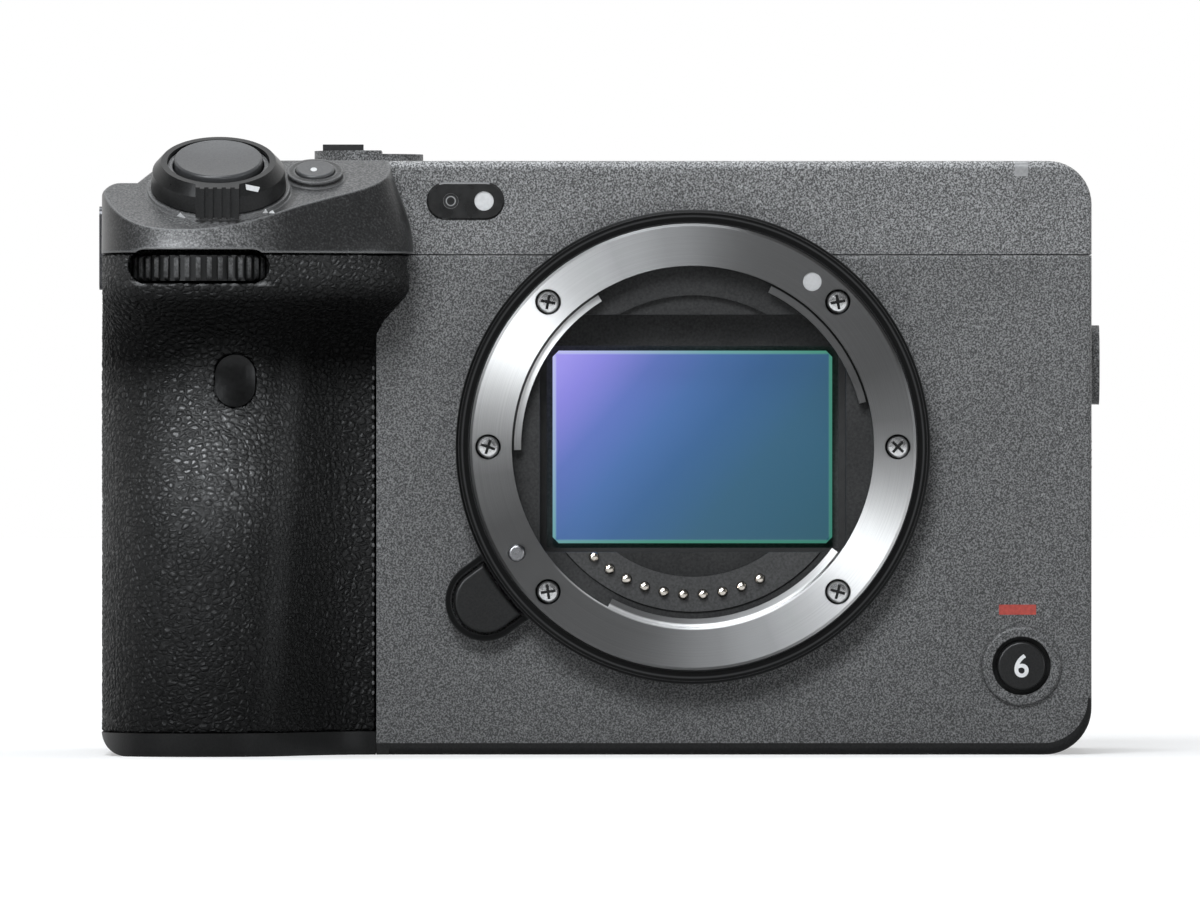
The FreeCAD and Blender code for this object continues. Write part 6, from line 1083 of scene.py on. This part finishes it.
# %% Marks on the back
WHEEL_X, WHEEL_Z, WHEEL_MARKS = -53.0, 26.0, 8.2
for i, (dx, dz) in enumerate(((0.0, 1.0), (1.0, 0.0), (0.0, -1.0), (-1.0, 0.0)), 1):
    cx, cz = WHEEL_X + WHEEL_MARKS * dx, WHEEL_Z + WHEEL_MARKS * dz
    wide, tall = (0.9, 0.22) if dx == 0.0 else (0.22, 0.9)
    printed("wheel_mark_%d" % i, bar_shape(cx - wide, cx + wide, cz - tall, cz + tall),
            "control_wheel", "control_wheel", behind=True)
printed("play_mark", [(-39.35, 9.1), (-39.35, 10.9), (-40.9, 10.0)], "play_button", "play_button", behind=True)
for i, z in enumerate((59.3, 60.0, 60.7), 1):
    printed("menu_mark_%d" % i, bar_shape(-39.4, -37.6, z - 0.13, z + 0.13), "menu_button", "menu_button",
            behind=True)
print("back marked")

# %% [markdown]
# ## Sound holes and finger ribs
# A loudspeaker sits behind a patch of small drilled holes, and each small door has a few raised
# ribs at the edge where a nail lifts it. The holes are near-black discs on the surface, painted
# shade for the dark inside a hole. All are the same thing to make: one small shape repeated at
# an even pitch, in a grid or in a row. One tree does both, with its counts as named inputs.

# %% Repeats in a grid
RIB_RISE = 0.12 * MM
HOLE_PITCH = 1.5 * MM
HOLE_PROFILE = ((0.0, 0.02), (0.36, 0.02), (0.42, 0.0), (0.42, -0.1), (0.0, -0.1))
NO_STEP = (0.0, 0.0, 0.0)


def repeated(name, shape, first, step_a, step_b, count_a, count_b, finish, body):
    part = hidden_part(name + "_one", shape)
    grid = Tree(name, One=part, Count_A=count_a, Count_B=count_b, Finish=finish)
    count = grid.product(grid.start["Count A"], grid.start["Count B"])
    spots = grid.put("GeometryNodePoints", Count=count).outputs[0]
    index = grid.put("GeometryNodeInputIndex").outputs[0]
    along_b = grid.calc("FLOOR", grid.calc("DIVIDE", index, grid.start["Count A"]))
    along_a = grid.calc("SUBTRACT", index, grid.product(along_b, grid.start["Count A"]))
    by_a = grid.vector("SCALE", step_a, Scale=along_a)
    both = grid.vector("ADD", by_a, grid.vector("SCALE", step_b, Scale=along_b))
    grid.end_with_copies(grid.moved(spots, Position=grid.vector("ADD", both, first)), "One")
    piece = grid.grow_new(name)
    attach(piece, body)
    drop(part)
    print(name, len(piece.data.polygons), "faces")


def rib(size):
    bm = cube(size)
    bmesh.ops.bevel(bm, geom=bm.edges, offset=RIB_RISE, segments=3, affect="EDGES")
    return from_bmesh("rib", bm)


# The holes are near-black discs: painted shade where a real hole is dark inside.
hole_black = moulded("hole_black", 0.0015, 0.9, specular=0.05)
repeated("sound_holes", lathe("sound_hole", HOLE_PROFILE, 16), (-72.0 * MM, REAR_Y, 6.0 * MM),
         (HOLE_PITCH, 0.0, 0.0), (0.0, 0.0, HOLE_PITCH), 7, 5, hole_black, "root")
for door, size, first, step, count, finish, slot_name in (
        ("video_door", (0.5, 5.0, 0.5), (51.62, -9.5, 37.2), (0.0, 0.0, 1.1), 4, door_rubber, "black_plastic"),
        ("audio_door", (0.5, 3.6, 0.5), (51.62, -2.5, 57.4), (0.0, 0.0, 1.1), 3, door_rubber, "black_plastic"),
        ("card_door", (0.5, 0.6, 9.0), (-76.42, 26.6, 35.0), (0.0, 1.2, 0.0), 3, casing_paint, "body_paint")):
    repeated(door + "_ribs", rib(size), mm(*first), mm(*step), NO_STEP, count, 1, finish, door)

# %% [markdown]
# ## The numeral on the front button
# The front button carries a plain printed numeral. Blender's own letters have true curves, so a
# text object gives the shape, with a little thickness. It becomes a plain mesh, is turned upright
# and stands with its middle on the button's face.

# %% The numeral on the front button
BUTTON_X, BUTTON_FACE_Y, BUTTON_Z = mm(42.5, -22.9, 11.5)
text_data = bpy.data.curves.new("numeral", "FONT")
text_data.body = "6"
text_data.align_x = "CENTER"
text_data.align_y = "CENTER"
text_data.size = 4.1 * MM
text_data.extrude = 0.04 * MM
text_data.offset = 0.06 * MM
text_object = in_scene("numeral", text_data)
bpy.context.view_layer.update()
numeral_mesh = made_mesh(text_object)
drop(text_object)
numeral_mesh.transform(Matrix.Rotation(math.pi / 2, 4, "X"))
xs = [v.co.x for v in numeral_mesh.vertices]
zs = [v.co.z for v in numeral_mesh.vertices]
shift = Vector((BUTTON_X - (min(xs) + max(xs)) / 2, BUTTON_FACE_Y, BUTTON_Z - (min(zs) + max(zs)) / 2))
numeral_mesh.transform(Matrix.Translation(shift))
numeral = new_piece("numeral_six", numeral_mesh, white_ink, smooth=False)
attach(numeral, "record_button")
print("numeral height mm:", round((max(zs) - min(zs)) * 1000, 2))
